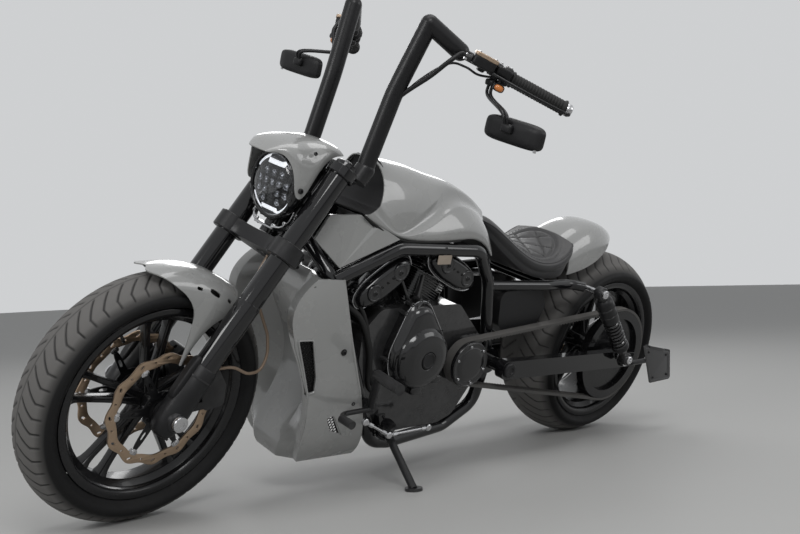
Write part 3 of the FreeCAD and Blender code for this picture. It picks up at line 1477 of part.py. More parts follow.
steering_nodes = {
    "fork_left": lambda: fork_leg(1),
    "fork_right": lambda: fork_leg(-1),
    "upper_clamp": upper_clamp,
    "lower_clamp": lower_clamp,
    "bar_left": lambda: bar(1),
    "bar_right": lambda: bar(-1),
    "control_left": lambda: control(1),
    "control_right": lambda: control(-1),
    "mirror_left": lambda: mirror(1),
    "mirror_right": lambda: mirror(-1),
    "headlamp": headlamp,
    "lamp_cowl": lamp_cowl,
    "front_fender": front_fender,
    "front_axle": front_axle,
    "front_calipers": front_calipers,
    "brake_hose": brake_hose,
}
front_wheel_nodes = {
    "front_tyre": lambda: tyre(front_centre, front_tyre_radius, front_tyre_width, front_crown_radius, front_rim_width),
    "front_rim": lambda: rim(front_centre, front_rim_width, front_hub_radius, front_hub_width, front_axle_radius),
    "front_rotors": front_rotors,
}
chassis_nodes = {
    "steering_head": steering_head,
    "frame_left": frame_left,
    "frame_right": lambda: frame_loop(-1),
    "seat_frame": seat_frame,
    "crankcase": crankcase,
    "cylinders": cylinders,
    "cam_covers": cam_covers,
    "alternator_cover": alternator_cover,
    "clutch_cover": clutch_cover,
    "front_pulley": front_pulley,
    "pulley_cover": pulley_cover,
    "drive_belt": drive_belt,
    "exhaust": exhaust,
    "radiator": radiator,
    "radiator_shroud": radiator_shroud,
    "tank_cover": tank_cover,
    "side_panels": side_panels,
    "seat": seat,
    "tail_cowl": tail_cowl,
    "battery_covers": battery_covers,
    "swingarm": swingarm,
    "rear_axle": rear_axle,
    "rear_shocks": rear_shocks,
    "rear_caliper": rear_caliper,
    "plate_holder": plate_holder,
    "foot_controls": foot_controls,
}
rear_wheel_nodes = {
    "rear_tyre": lambda: tyre(rear_centre, rear_tyre_radius, rear_tyre_width, rear_crown_radius, rear_rim_width),
    "rear_rim": lambda: rim(rear_centre, rear_rim_width, rear_hub_radius, rear_hub_width, rear_axle_radius),
    "rear_pulley": rear_pulley,
    "rear_rotor": rear_rotor,
}
stand_nodes = {"side_stand": side_stand}

steered = lean_place.multiply(steer_place)
bodies = [(steering_nodes, steered), (front_wheel_nodes, steered), (chassis_nodes, lean_place),
          (rear_wheel_nodes, lean_place), (stand_nodes, lean_place)]

shapes = {}
for nodes, place in bodies:
    for name, make in nodes.items():
        shapes[name] = placed(make(), place)

# The origin is under the middle of the whole machine's box, on the floor
box = FreeCAD.BoundBox()
for shape in shapes.values():
    box.add(shape.optimalBoundingBox(False))
to_origin = Vector(-box.Center.x, -box.Center.y, 0)

os.makedirs("parts", exist_ok=True)
for name, shape in shapes.items():
    shape.translate(to_origin)
    shape.exportStep("parts/" + name + ".step")
    print(name, "solids", len(shape.Solids), "valid", shape.isValid(), "volume", round(shape.Volume / 1e3))
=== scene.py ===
import json

import bmesh
import bpy
import numpy as np
from mathutils import Matrix


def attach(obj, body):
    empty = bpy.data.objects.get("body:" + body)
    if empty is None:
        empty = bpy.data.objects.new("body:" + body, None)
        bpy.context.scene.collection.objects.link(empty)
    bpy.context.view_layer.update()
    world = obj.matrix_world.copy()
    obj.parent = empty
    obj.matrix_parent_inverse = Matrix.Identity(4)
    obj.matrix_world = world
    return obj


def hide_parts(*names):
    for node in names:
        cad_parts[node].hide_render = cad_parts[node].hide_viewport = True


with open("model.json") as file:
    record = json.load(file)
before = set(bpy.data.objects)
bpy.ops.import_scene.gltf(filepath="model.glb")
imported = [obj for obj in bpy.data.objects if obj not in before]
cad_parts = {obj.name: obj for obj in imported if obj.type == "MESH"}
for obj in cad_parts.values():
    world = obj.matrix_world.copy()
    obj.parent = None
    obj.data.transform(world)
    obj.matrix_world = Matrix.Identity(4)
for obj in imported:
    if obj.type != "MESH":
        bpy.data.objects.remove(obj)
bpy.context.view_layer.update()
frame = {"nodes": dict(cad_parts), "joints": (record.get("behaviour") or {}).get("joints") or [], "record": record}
nodes = frame["nodes"]
joints = {joint["name"]: joint for joint in frame["joints"]}
print("frame loaded:", len(nodes), "nodes")

# Frames. Every piece is drawn on the upright machine in millimetres: X ahead, Y left, Z up, from the point
# under the rear axle. A wheel's axle gives left and the steering axis gives the rake, so the lean and the
# turned fork come with them.

stance = {
    "rake": 33.0,
    "rearWheel": (0.0, 0.0, 330.0),
    "frontWheel": (1700.0, 0.0, 322.0),
    "forkOffset": 60.0,
}


def standingFrame(spin, wheelMiddle):
    left = np.array(joints[spin]["axis"])
    up = np.array(joints["steer"]["axis"])
    ahead = np.cross(left, up)
    rake = np.radians(stance["rake"])
    forward = np.cos(rake) * ahead - np.sin(rake) * up
    upward = np.sin(rake) * ahead + np.cos(rake) * up
    turn = np.stack([forward, left, upward])
    return turn, np.array(joints[spin]["pos_m"]) - np.array(wheelMiddle) / 1000 @ turn


upright = standingFrame("rear_spin", stance["rearWheel"])
steered = standingFrame("front_spin", stance["frontWheel"])
bodyFrame = {"chassis": upright, "rear_wheel": upright, "steering": steered, "front_wheel": steered}

rakeTurn = np.radians(stance["rake"])
forkAhead = np.array([np.cos(rakeTurn), 0, np.sin(rakeTurn)])
forkUp = np.array([-np.sin(rakeTurn), 0, np.cos(rakeTurn)])
leftWay = np.array([0.0, 1.0, 0.0])
frontMiddle = np.array(stance["frontWheel"])
rearMiddle = np.array(stance["rearWheel"])
forkOrigin = frontMiddle - forkAhead * stance["forkOffset"]


# A point given ahead of the steering axis, to the left and up along the axis, on the upright machine
def inFork(points):
    points = np.asarray(points, float)
    return forkOrigin + points[..., :1] * forkAhead + points[..., 1:2] * leftWay + points[..., 2:] * forkUp


# Camera, stage and light

view = {
    "position": (2826.362, 1962.502, 1269.305),
    "right": (-0.73700665, 0.65223677, 0.17722415),
    "up": (-0.02541590, -0.28876945, 0.95706125),
    "lens": 43.93,
}


def link(tree, source, target):
    tree.links.new(source, target)


def setInputs(node, values):
    for label, value in values.items():
        node.inputs[label].default_value = value


def mathNode(tree, operation, first, second, clamp=False):
    node = tree.nodes.new("ShaderNodeMath")
    node.operation = operation
    node.use_clamp = clamp
    for slot, value in enumerate((first, second)):
        if isinstance(value, (int, float)):
            node.inputs[slot].default_value = value
        else:
            link(tree, value, node.inputs[slot])
    return node.outputs[0]


def newMaterial(name, values):
    material = bpy.data.materials.new(name)
    material.use_nodes = True
    setInputs(material.node_tree.nodes["Principled BSDF"], values)
    return material


# Places a camera or lamp by its own right, up and back
def addToScene(name, data, right, up, back, place):
    matrix = np.eye(4)
    matrix[:3, :3] = np.stack([right, up, back], axis=1)
    matrix[:3, 3] = place
    obj = bpy.data.objects.new(name, data)
    obj.matrix_world = Matrix(matrix.tolist())
    bpy.context.scene.collection.objects.link(obj)
    return obj


def makeCamera():
    turn, origin = upright
    right = np.array(view["right"]) @ turn
    up = np.array(view["up"]) @ turn
    data = bpy.data.cameras.new("camera")
    data.sensor_width = 36.0
    data.lens = view["lens"]
    place = np.array(view["position"]) / 1000 @ turn + origin
    bpy.context.scene.camera = addToScene("camera", data, right, up, np.cross(right, up), place)


stage = {
    "floorSize": 40.0,
    "floorColour": (0.52, 0.52, 0.51),
    "backColour": (0.62, 0.63, 0.64),
    "ambient": 0.24,
    "lamps": [
        # name, place, aim, size across and along, power
        ("keyLamp", (2.2, 3.4, 3.6), (0.1, 0.0, 0.5), (2.0, 1.4), 66.0),
        ("frontLamp", (4.2, 0.2, 2.4), (0.6, 0.0, 0.5), (1.6, 1.0), 34.0),
        ("topLamp", (0.0, 0.6, 4.2), (0.0, 0.0, 0.6), (4.2, 1.6), 44.0),
        ("rimLamp", (-2.6, -3.2, 3.0), (-0.1, 0.0, 0.5), (2.6, 1.4), 40.0),
        ("sideLamp", (-2.8, 3.6, 2.2), (-0.4, 0.0, 0.4), (2.4, 1.6), 26.0),
    ],
}


# White for the camera and for what mirrors it, and a plain dimmer fill for the object's own light
def seenLight(tree):
    path = tree.nodes.new("ShaderNodeLightPath").outputs
    direct = mathNode(tree, "MAXIMUM", path["Is Camera Ray"], path["Is Glossy Ray"])
    return mathNode(tree, "MAXIMUM", direct, path["Is Transmission Ray"])


def makeStage():
    scene = bpy.context.scene
    scene.view_settings.view_transform = "Standard"
    world = bpy.data.worlds.new("studio")
    scene.world = world
    world.use_nodes = True
    tree = world.node_tree
    background = tree.nodes["Background"]
    background.inputs["Color"].default_value = (*stage["backColour"], 1)
    strength = tree.nodes.new("ShaderNodeMapRange")
    setInputs(strength, {"To Min": stage["ambient"], "To Max": 1.0})
    link(tree, seenLight(tree), strength.inputs["Value"])
    link(tree, strength.outputs["Result"], background.inputs["Strength"])

    half = stage["floorSize"] / 2
    mesh = bpy.data.meshes.new("floor")
    corners = [(-half, -half, 0), (half, -half, 0), (half, half, 0), (-half, half, 0)]
    mesh.from_pydata(corners, [], [(0, 1, 2, 3)])
    paint = newMaterial("floorPaint", {"Base Color": (*stage["floorColour"], 1), "Roughness": 0.55})
    mesh.materials.append(paint)
    floor = bpy.data.objects.new("floor", mesh)
    scene.collection.objects.link(floor)

    for name, place, aim, size, power in stage["lamps"]:
        data = bpy.data.lights.new(name, "AREA")
        data.shape = "RECTANGLE"
        data.size, data.size_y = size
        data.energy = power
        back = np.array(place) - np.array(aim)
        back = back / np.linalg.norm(back)
        right = np.cross((0, 0, 1), back)
        right = right / np.linalg.norm(right)
        addToScene(name, data, right, np.cross(back, right), back, place)


makeCamera()
makeStage()
print("camera and stage ready")


# Shapes. A patch is a pair: an array of points in millimetres and a list of faces.

def unit(vector):
    vector = np.asarray(vector, float)
    return vector / np.linalg.norm(vector, axis=-1, keepdims=True)


# Two directions square to a line and to each other
def squareTo(axis):
    axis = unit(axis)
    helper = np.array([0.0, 0.0, 1.0]) if abs(axis[2]) < 0.9 else np.array([1.0, 0.0, 0.0])
    side = unit(np.cross(helper, axis))
    return side, np.cross(axis, side)


# Grid of points: a quad between each four neighbours, joined round where rows or columns close
def gridPatch(grid, loopRows=False, loopCols=True, caps=False):
    rows, cols = grid.shape[:2]
    index = np.arange(rows * cols).reshape(rows, cols)
    down = np.roll(index, -1, 0)
    quads = np.stack([index, np.roll(index, -1, 1), np.roll(down, -1, 1), down], -1)
    quads = quads if loopRows else quads[:-1]
    quads = quads if loopCols else quads[:, :-1]
    faces = quads.reshape(-1, 4).tolist()
    if caps:
        faces += [index[0, ::-1].tolist(), index[-1].tolist()]
    return grid.reshape(-1, 3), faces


# Corners cut back by a distance and rounded with a quadratic curve between the two cuts
def softened(points, reach, steps=4, closed=False):
    points = np.asarray(points, float)
    back = np.roll(points, 1, 0) - points
    ahead = np.roll(points, -1, 0) - points
    backLength = np.linalg.norm(back, axis=1, keepdims=True) + 1e-9
    aheadLength = np.linalg.norm(ahead, axis=1, keepdims=True) + 1e-9
    cut = np.minimum(reach, 0.45 * np.minimum(backLength, aheadLength))
    start = points + back / backLength * cut
    end = points + ahead / aheadLength * cut
    t = np.linspace(0, 1, steps)[:, None, None]
    curve = (1 - t) ** 2 * start + 2 * t * (1 - t) * points + t ** 2 * end
    curve = curve.transpose(1, 0, 2).reshape(-1, points.shape[1])
    return curve if closed else np.concatenate([points[:1], curve[steps:-steps], points[-1:]])


# Smooth line through points: a cubic span between each two, its slope at a point set by the two beside it
def smoothThrough(points, steps=8, closed=False):
    points = np.asarray(points, float)
    if closed:
        more = np.concatenate([points[-1:], points, points[:2]])
    else:
        more = np.concatenate([2 * points[:1] - points[1:2], points, 2 * points[-1:] - points[-2:-1]])
    p0, p1, p2, p3 = more[:-3], more[1:-2], more[2:-1], more[3:]
    t = np.linspace(0, 1, steps, endpoint=False).reshape((-1,) + (1,) * points.ndim)
    spans = 0.5 * (2 * p1 + (p2 - p0) * t + (2 * p0 - 5 * p1 + 4 * p2 - p3) * t ** 2
                   + (3 * p1 - p0 - 3 * p2 + p3) * t ** 3)
    curve = spans.swapaxes(0, 1).reshape((-1,) + points.shape[1:])
    return curve if closed else np.concatenate([curve, points[-1:]])


# Rounded rectangle or oval about zero: cosine and sine raised to a power under 1 square the corners
def ovalLine(width, height, power=1.0, steps=24):
    angle = np.linspace(0, 2 * np.pi, steps, endpoint=False)
    across = np.sign(np.cos(angle)) * np.abs(np.cos(angle)) ** power
    along = np.sign(np.sin(angle)) * np.abs(np.sin(angle)) ** power
    return np.stack([across * width / 2, along * height / 2], 1)


# Turned shape: (along, radius) rows carried round an axis
def lathe(profile, centre, axis, steps=40, loop=False):
    profile = np.asarray(profile, float)
    side, other = squareTo(axis)
    angle = np.linspace(0, 2 * np.pi, steps, endpoint=False)[None, :, None]
    ring = np.cos(angle) * side + np.sin(angle) * other
    along = profile[:, 0][:, None, None] * unit(axis)
    return gridPatch(np.asarray(centre, float) + along + profile[:, 1][:, None, None] * ring, loopRows=loop)


# Profile carried along a path: its frame turns only as much as the path bends, and its size may change
def pipe(path, size, outline=None, start=None, dome=False, loop=False, count=16):
    path = np.asarray(path, float)
    outline = ovalLine(2, 2, steps=count) if outline is None else outline
    size = np.asarray(size, float)
    size = np.broadcast_to(size if size.ndim == 2 else size.reshape(-1, 1), (len(path), 2))
    along = unit(np.roll(path, -1, 0) - np.roll(path, 1, 0) if loop else np.gradient(path, axis=0))
    side = squareTo(along[0])[0] if start is None else unit(start)
    sides = []
    for step in along:
        side = unit(side - step * np.dot(side, step))
        sides.append(side)
    sides = np.array(sides)
    if dome:
        swell = np.radians([90, 68, 45, 22])
        head = path[0] - along[0] * (np.sin(swell) * size[0].min())[:, None]
        tail = path[-1] + along[-1] * (np.sin(swell[::-1]) * size[-1].min())[:, None]
        path = np.concatenate([head, path, tail])
        shrink = np.cos(swell)[:, None]
        size = np.concatenate([size[0] * shrink, size, size[-1] * shrink[::-1]])
        repeat = [len(swell) + 1] + [1] * (len(sides) - 2) + [len(swell) + 1]
        sides = np.repeat(sides, repeat, axis=0)
        along = np.repeat(along, repeat, axis=0)
    others = np.cross(along, sides)
    grid = (path[:, None] + sides[:, None] * outline[None, :, :1] * size[:, None, :1]
            + others[:, None] * outline[None, :, 1:] * size[:, None, 1:])
    return gridPatch(grid, loopRows=loop, caps=not loop)


# Housing: a ball squared off by its powers, in a frame of three directions with half sizes
def housing(centre, halves, ahead=(1, 0, 0), left=(0, 1, 0), power=0.45, steps=(18, 28)):
    ahead = unit(ahead)
    left = unit(left - ahead * np.dot(left, ahead))
    up = np.cross(ahead, left)
    tall = np.linspace(-np.pi / 2, np.pi / 2, steps[0])[:, None]
    around = np.linspace(0, 2 * np.pi, steps[1], endpoint=False)[None, :]

    def squared(value):
        return np.sign(value) * np.abs(value) ** power
    x = squared(np.cos(tall)) * squared(np.cos(around)) * halves[0]
    y = squared(np.cos(tall)) * squared(np.sin(around)) * halves[1]
    z = squared(np.sin(tall)) * np.ones_like(around) * halves[2]
    return gridPatch(centre + x[..., None] * ahead + y[..., None] * left + z[..., None] * up)


def readMesh(mesh):
    points = np.empty(len(mesh.vertices) * 3)
    mesh.vertices.foreach_get("co", points)
    corners = np.empty(len(mesh.loops), int)
    mesh.loops.foreach_get("vertex_index", corners)
    ends = np.cumsum([polygon.loop_total for polygon in mesh.polygons])
    return points.reshape(-1, 3), [part.tolist() for part in np.split(corners, ends[:-1])]


# Flat plate: outlines filled but for the holes among them, thickened, with rounded edges, set in a plane
def plate(loops, thickness, soft, origin, across=(1, 0, 0), along=(0, 0, 1)):
    curve = bpy.data.curves.new("outline", "CURVE")
    curve.dimensions = "2D"
    curve.fill_mode = "BOTH"
    curve.extrude = thickness / 2 - soft
    curve.bevel_depth = soft
    curve.bevel_resolution = 1
    curve.offset = -soft
    for loop in loops:
        spline = curve.splines.new("POLY")
        spline.points.add(len(loop) - 1)
        corners = np.column_stack([loop, np.zeros(len(loop)), np.ones(len(loop))])
        spline.points.foreach_set("co", corners.ravel())
        spline.use_cyclic_u = True
    holder = bpy.data.objects.new("outline", curve)
    mesh = bpy.data.meshes.new_from_object(holder)
    points, faces = readMesh(mesh)
    bpy.data.objects.remove(holder)
    bpy.data.curves.remove(curve)
    bpy.data.meshes.remove(mesh)
    across = unit(across)
    along = unit(along)
    through = np.cross(across, along)
    placed = points[:, :1] * across + points[:, 1:2] * along + points[:, 2:] * through
    return placed + np.asarray(origin, float), faces


def joinPatches(patches):
    starts = np.cumsum([0] + [len(points) for points, faces in patches])
    faces = [[corner + start for corner in face] for start, patch in zip(starts.tolist(), patches)
             for face in patch[1]]
    return np.concatenate([points for points, faces in patches]), faces


def mirrorPatch(patch):
    points, faces = patch
    return points * (1, -1, 1), [face[::-1] for face in faces]


# A vector turned about an axis, by the usual sum of its parts along and square to the axis
def turnVector(vector, axis, degrees):
    angle = np.radians(degrees)
    return (vector * np.cos(angle) + np.cross(axis, vector) * np.sin(angle)
            + axis * np.dot(axis, vector) * (1 - np.cos(angle)))


def cleanMesh(mesh):
    work = bmesh.new()
    work.from_mesh(mesh)
    bmesh.ops.remove_doubles(work, verts=work.verts, dist=1e-6)
    bmesh.ops.recalc_face_normals(work, faces=work.faces)
    work.to_mesh(mesh)
    work.free()


# A patch as an object in metres, for modifiers to work on
def makeHolder(name, patch):
    mesh = bpy.data.meshes.new(name)
    mesh.from_pydata((patch[0] / 1000).tolist(), [], patch[1])
    cleanMesh(mesh)
    holder = bpy.data.objects.new(name, mesh)
    bpy.context.scene.collection.objects.link(holder)
    return holder


def dropHolder(holder):
    mesh = holder.data
    bpy.data.objects.remove(holder)
    bpy.data.meshes.remove(mesh)


# A patch run through modifiers: they are set on a holder, worked out and read back
def worked(patch, prepare):
    holder = makeHolder("holder", patch)
    prepare(holder)
    result = bpy.data.meshes.new_from_object(holder.evaluated_get(bpy.context.evaluated_depsgraph_get()))
    points, faces = readMesh(result)
    dropHolder(holder)
    bpy.data.meshes.remove(result)
    return points * 1000, faces


def addWall(holder, wall, offset=-1.0, even=False):
    solid = holder.modifiers.new("wall", "SOLIDIFY")
    solid.thickness = wall / 1000
    solid.offset = offset
    solid.use_even_offset = even


# Smooth skin over a coarse grid: subdivided, with chosen rows kept as creases, and given a wall
def skin(grid, levels, wall, creases=None):
    points, faces = gridPatch(grid, loopCols=False)
    index = np.arange(len(points)).reshape(grid.shape[:2]).tolist()
    marked = {frozenset(pair): weight for row, weight in (creases or {}).items()
              for pair in zip(index[row][:-1], index[row][1:])}

    def prepare(holder):
        mesh = holder.data
        found = {tuple(np.round(np.array(v.co) * 1000, 3)): v.index for v in mesh.vertices}
        names = [found.get(tuple(np.round(point, 3)), -1) for point in points]
        wanted = {frozenset(names[i] for i in pair): weight for pair, weight in marked.items()}
        values = [wanted.get(frozenset(edge.vertices), 0.0) for edge in mesh.edges]
        crease = mesh.attributes.new("crease_edge", "FLOAT", "EDGE")
        crease.data.foreach_set("value", values)
        smooth = holder.modifiers.new("smooth", "SUBSURF")
        smooth.levels = levels
        smooth.render_levels = levels
        addWall(holder, wall)
    return worked((points, faces), prepare)


def thickened(patch, wall, offset=-1.0):
    return worked(patch, lambda holder: addWall(holder, wall, offset, True))


def cutOut(patch, cutter):
    knife = makeHolder("cutter", cutter)

    def prepare(holder):
        cut = holder.modifiers.new("cut", "BOOLEAN")
        cut.operation = "DIFFERENCE"
        cut.solver = "EXACT"
        cut.object = knife
    result = worked(patch, prepare)
    dropHolder(knife)
    return result


# Socket screw: a short turned head with its socket sunk in, its foot at the given place
def screw(place, axis, radius=5.0, height=5.0, steps=12):
    r, h = radius, height
    rows = [(0, r), (h * 0.78, r), (h, r * 0.84), (h, r * 0.52), (h * 0.45, r * 0.48), (h * 0.45, 0)]
    return lathe(rows, place, axis, steps)


pieceCount = {"pieces": 0, "faces": 0}


# Puts patches into one object on its body, with its slot; marks maps attribute names to point values.
# A piece takes the finish of its slot unless another look is named.
def piece(name, patches, body, slot, replaced=(), angle=35.0, marks=None, look=None):
    points, faces = joinPatches(patches)
    turn, origin = bodyFrame[body]
    mesh = bpy.data.meshes.new(name)
    mesh.from_pydata((points / 1000 @ turn + origin).tolist(), [], faces)
    for mark, values in (marks or {}).items():
        attribute = mesh.attributes.new(mark, "FLOAT", "POINT")
        attribute.data.foreach_set("value", values)
    cleanMesh(mesh)
    mesh.shade_smooth()
    mesh.set_sharp_from_angle(angle=np.radians(angle))
    mesh.materials.append(finishes[look or slotFinish[slot]])
    obj = bpy.data.objects.new(name, mesh)
    bpy.context.scene.collection.objects.link(obj)
    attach(obj, body)
    if replaced:
        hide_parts(*replaced)
    pieceCount["pieces"] += 1
    pieceCount["faces"] += len(mesh.polygons)
    return obj


# Finishes. Shared effects are node groups with named inputs; each finish places them with its own values.

def newGroup(name, inputs, outputs):
    group = bpy.data.node_groups.new(name, "ShaderNodeTree")
    for label, value in inputs.items():
        socket = group.interface.new_socket(name=label, in_out="INPUT", socket_type="NodeSocketFloat")
        socket.default_value = value
    for label in outputs:
        group.interface.new_socket(name=label, in_out="OUTPUT", socket_type="NodeSocketFloat")
    return group, group.nodes.new("NodeGroupInput").outputs, group.nodes.new("NodeGroupOutput").inputs


# Noise on the object's own coordinates, its scale taken from a socket
def noiseNode(tree, scale, detail, roughness):
    noise = tree.nodes.new("ShaderNodeTexNoise")
    setInputs(noise, {"Detail": detail, "Roughness": roughness})
    link(tree, tree.nodes.new("ShaderNodeTexCoord").outputs["Object"], noise.inputs["Vector"])
    link(tree, scale, noise.inputs["Scale"])
    return noise.outputs["Fac"]


def mixColour(tree, share, first, second):
    mix = tree.nodes.new("ShaderNodeMix")
    mix.data_type = "RGBA"
    link(tree, share, mix.inputs["Factor"])
    for label, value in (("A", first), ("B", second)):
        socket = [s for s in mix.inputs if s.name == label and s.type == "RGBA"][0]
        if isinstance(value, tuple):
            socket.default_value = (*value, 1)
        else:
            link(tree, value, socket)
    return [s for s in mix.outputs if s.type == "RGBA"][0]


# Grain: fine noise with a coarser one through it, for cast, moulded and powder-coated faces
def grainGroup():
    group, start, end = newGroup("surfaceGrain", {"Scale": 300.0, "Coarse": 0.3}, ["Height", "Mottle"])
    fine = noiseNode(group, start["Scale"], 3.0, 0.55)
    coarse = noiseNode(group, mathNode(group, "MULTIPLY", start["Scale"], 0.12), 4.0, 0.55)
    swell = mathNode(group, "MULTIPLY", coarse, start["Coarse"])
    link(group, mathNode(group, "ADD", fine, swell), end["Height"])
    link(group, coarse, end["Mottle"])
    return group


# Dust: settles on faces that look up, in soft patches
def dustGroup():
    group, start, end = newGroup("settledDust", {"Amount": 0.2, "Scale": 12.0}, ["Mask"])
    split = group.nodes.new("ShaderNodeSeparateXYZ")
    link(group, group.nodes.new("ShaderNodeNewGeometry").outputs["Normal"], split.inputs["Vector"])
    noise = noiseNode(group, start["Scale"], 5.0, 0.6)
    lying = mathNode(group, "MULTIPLY", mathNode(group, "ADD", split.outputs["Z"], 0.25, True), noise)
    link(group, mathNode(group, "MULTIPLY", lying, start["Amount"], True), end["Mask"])
    return group


# Wear: pale rubbed edges, found where the surface's point sharpness is high
def wearGroup():
    group, start, end = newGroup("rubbedEdges", {"Amount": 0.5, "Scale": 40.0}, ["Mask"])
    point = group.nodes.new("ShaderNodeNewGeometry").outputs["Pointiness"]
    noise = noiseNode(group, start["Scale"], 6.0, 0.65)
    sharp = mathNode(group, "MULTIPLY", mathNode(group, "SUBTRACT", point, 0.54, True), 9.0, True)
    broken = mathNode(group, "MULTIPLY", sharp, noise)
    link(group, mathNode(group, "MULTIPLY", broken, start["Amount"], True), end["Mask"])
    return group


effects = {"grain": grainGroup(), "dust": dustGroup(), "wear": wearGroup()}


def placeEffect(tree, name, **values):
    node = tree.nodes.new("ShaderNodeGroup")
    node.node_tree = effects[name]
    setInputs(node, values)
    return node.outputs


dustColour = (0.34, 0.32, 0.30)


# One finish: a colour that mottles between two close tones, dust on top, rubbed edges, and grain as bump
def finish(colour, second=None, roughness=(0.3, 0.4), metal=0.0, coat=0.0, grain=300.0, coarse=0.3,
           bump=0.05, depth=0.0004, dust=0.15, wear=0.0, wearColour=(0.3, 0.3, 0.3), sheen=0.0, mark=None,
           markColour=None, markRough=0.0, gloss=0.5):
    material = newMaterial("finish", {"Metallic": metal, "Coat Weight": coat, "Coat Roughness": 0.04,
                                      "Sheen Weight": sheen, "Specular IOR Level": gloss})
    tree = material.node_tree
    shader = tree.nodes["Principled BSDF"]
    texture = placeEffect(tree, "grain", Scale=grain, Coarse=coarse)
    mottle = texture["Mottle"]
    base = mixColour(tree, mottle, colour, second or tuple(min(1.0, c * 1.18 + 0.001) for c in colour))
    rough = tree.nodes.new("ShaderNodeMapRange")
    setInputs(rough, {"From Min": 0.3, "From Max": 0.7, "To Min": roughness[0], "To Max": roughness[1]})
    link(tree, mottle, rough.inputs["Value"])
    roughOut = rough.outputs["Result"]
    # The tyre's tread mark uses this: painted light on the crown, with painted shade in its grooves
    if mark:
        attribute = tree.nodes.new("ShaderNodeAttribute")
        attribute.attribute_name = mark
        share = attribute.outputs["Fac"]
        base = mixColour(tree, share, base, markColour)
        roughOut = mathNode(tree, "ADD", roughOut, mathNode(tree, "MULTIPLY", share, markRough), True)
    if wear:
        base = mixColour(tree, placeEffect(tree, "wear", Amount=wear)["Mask"], base, wearColour)
    if dust:
        mask = placeEffect(tree, "dust", Amount=dust)["Mask"]
        base = mixColour(tree, mask, base, dustColour)
        roughOut = mathNode(tree, "ADD", roughOut, mathNode(tree, "MULTIPLY", mask, 0.5), True)
    link(tree, base, shader.inputs["Base Color"])
    link(tree, roughOut, shader.inputs["Roughness"])
    if bump:
        relief = tree.nodes.new("ShaderNodeBump")
        setInputs(relief, {"Strength": bump, "Distance": depth})
        link(tree, texture["Height"], relief.inputs["Height"])
        link(tree, relief.outputs["Normal"], shader.inputs["Normal"])
    return material


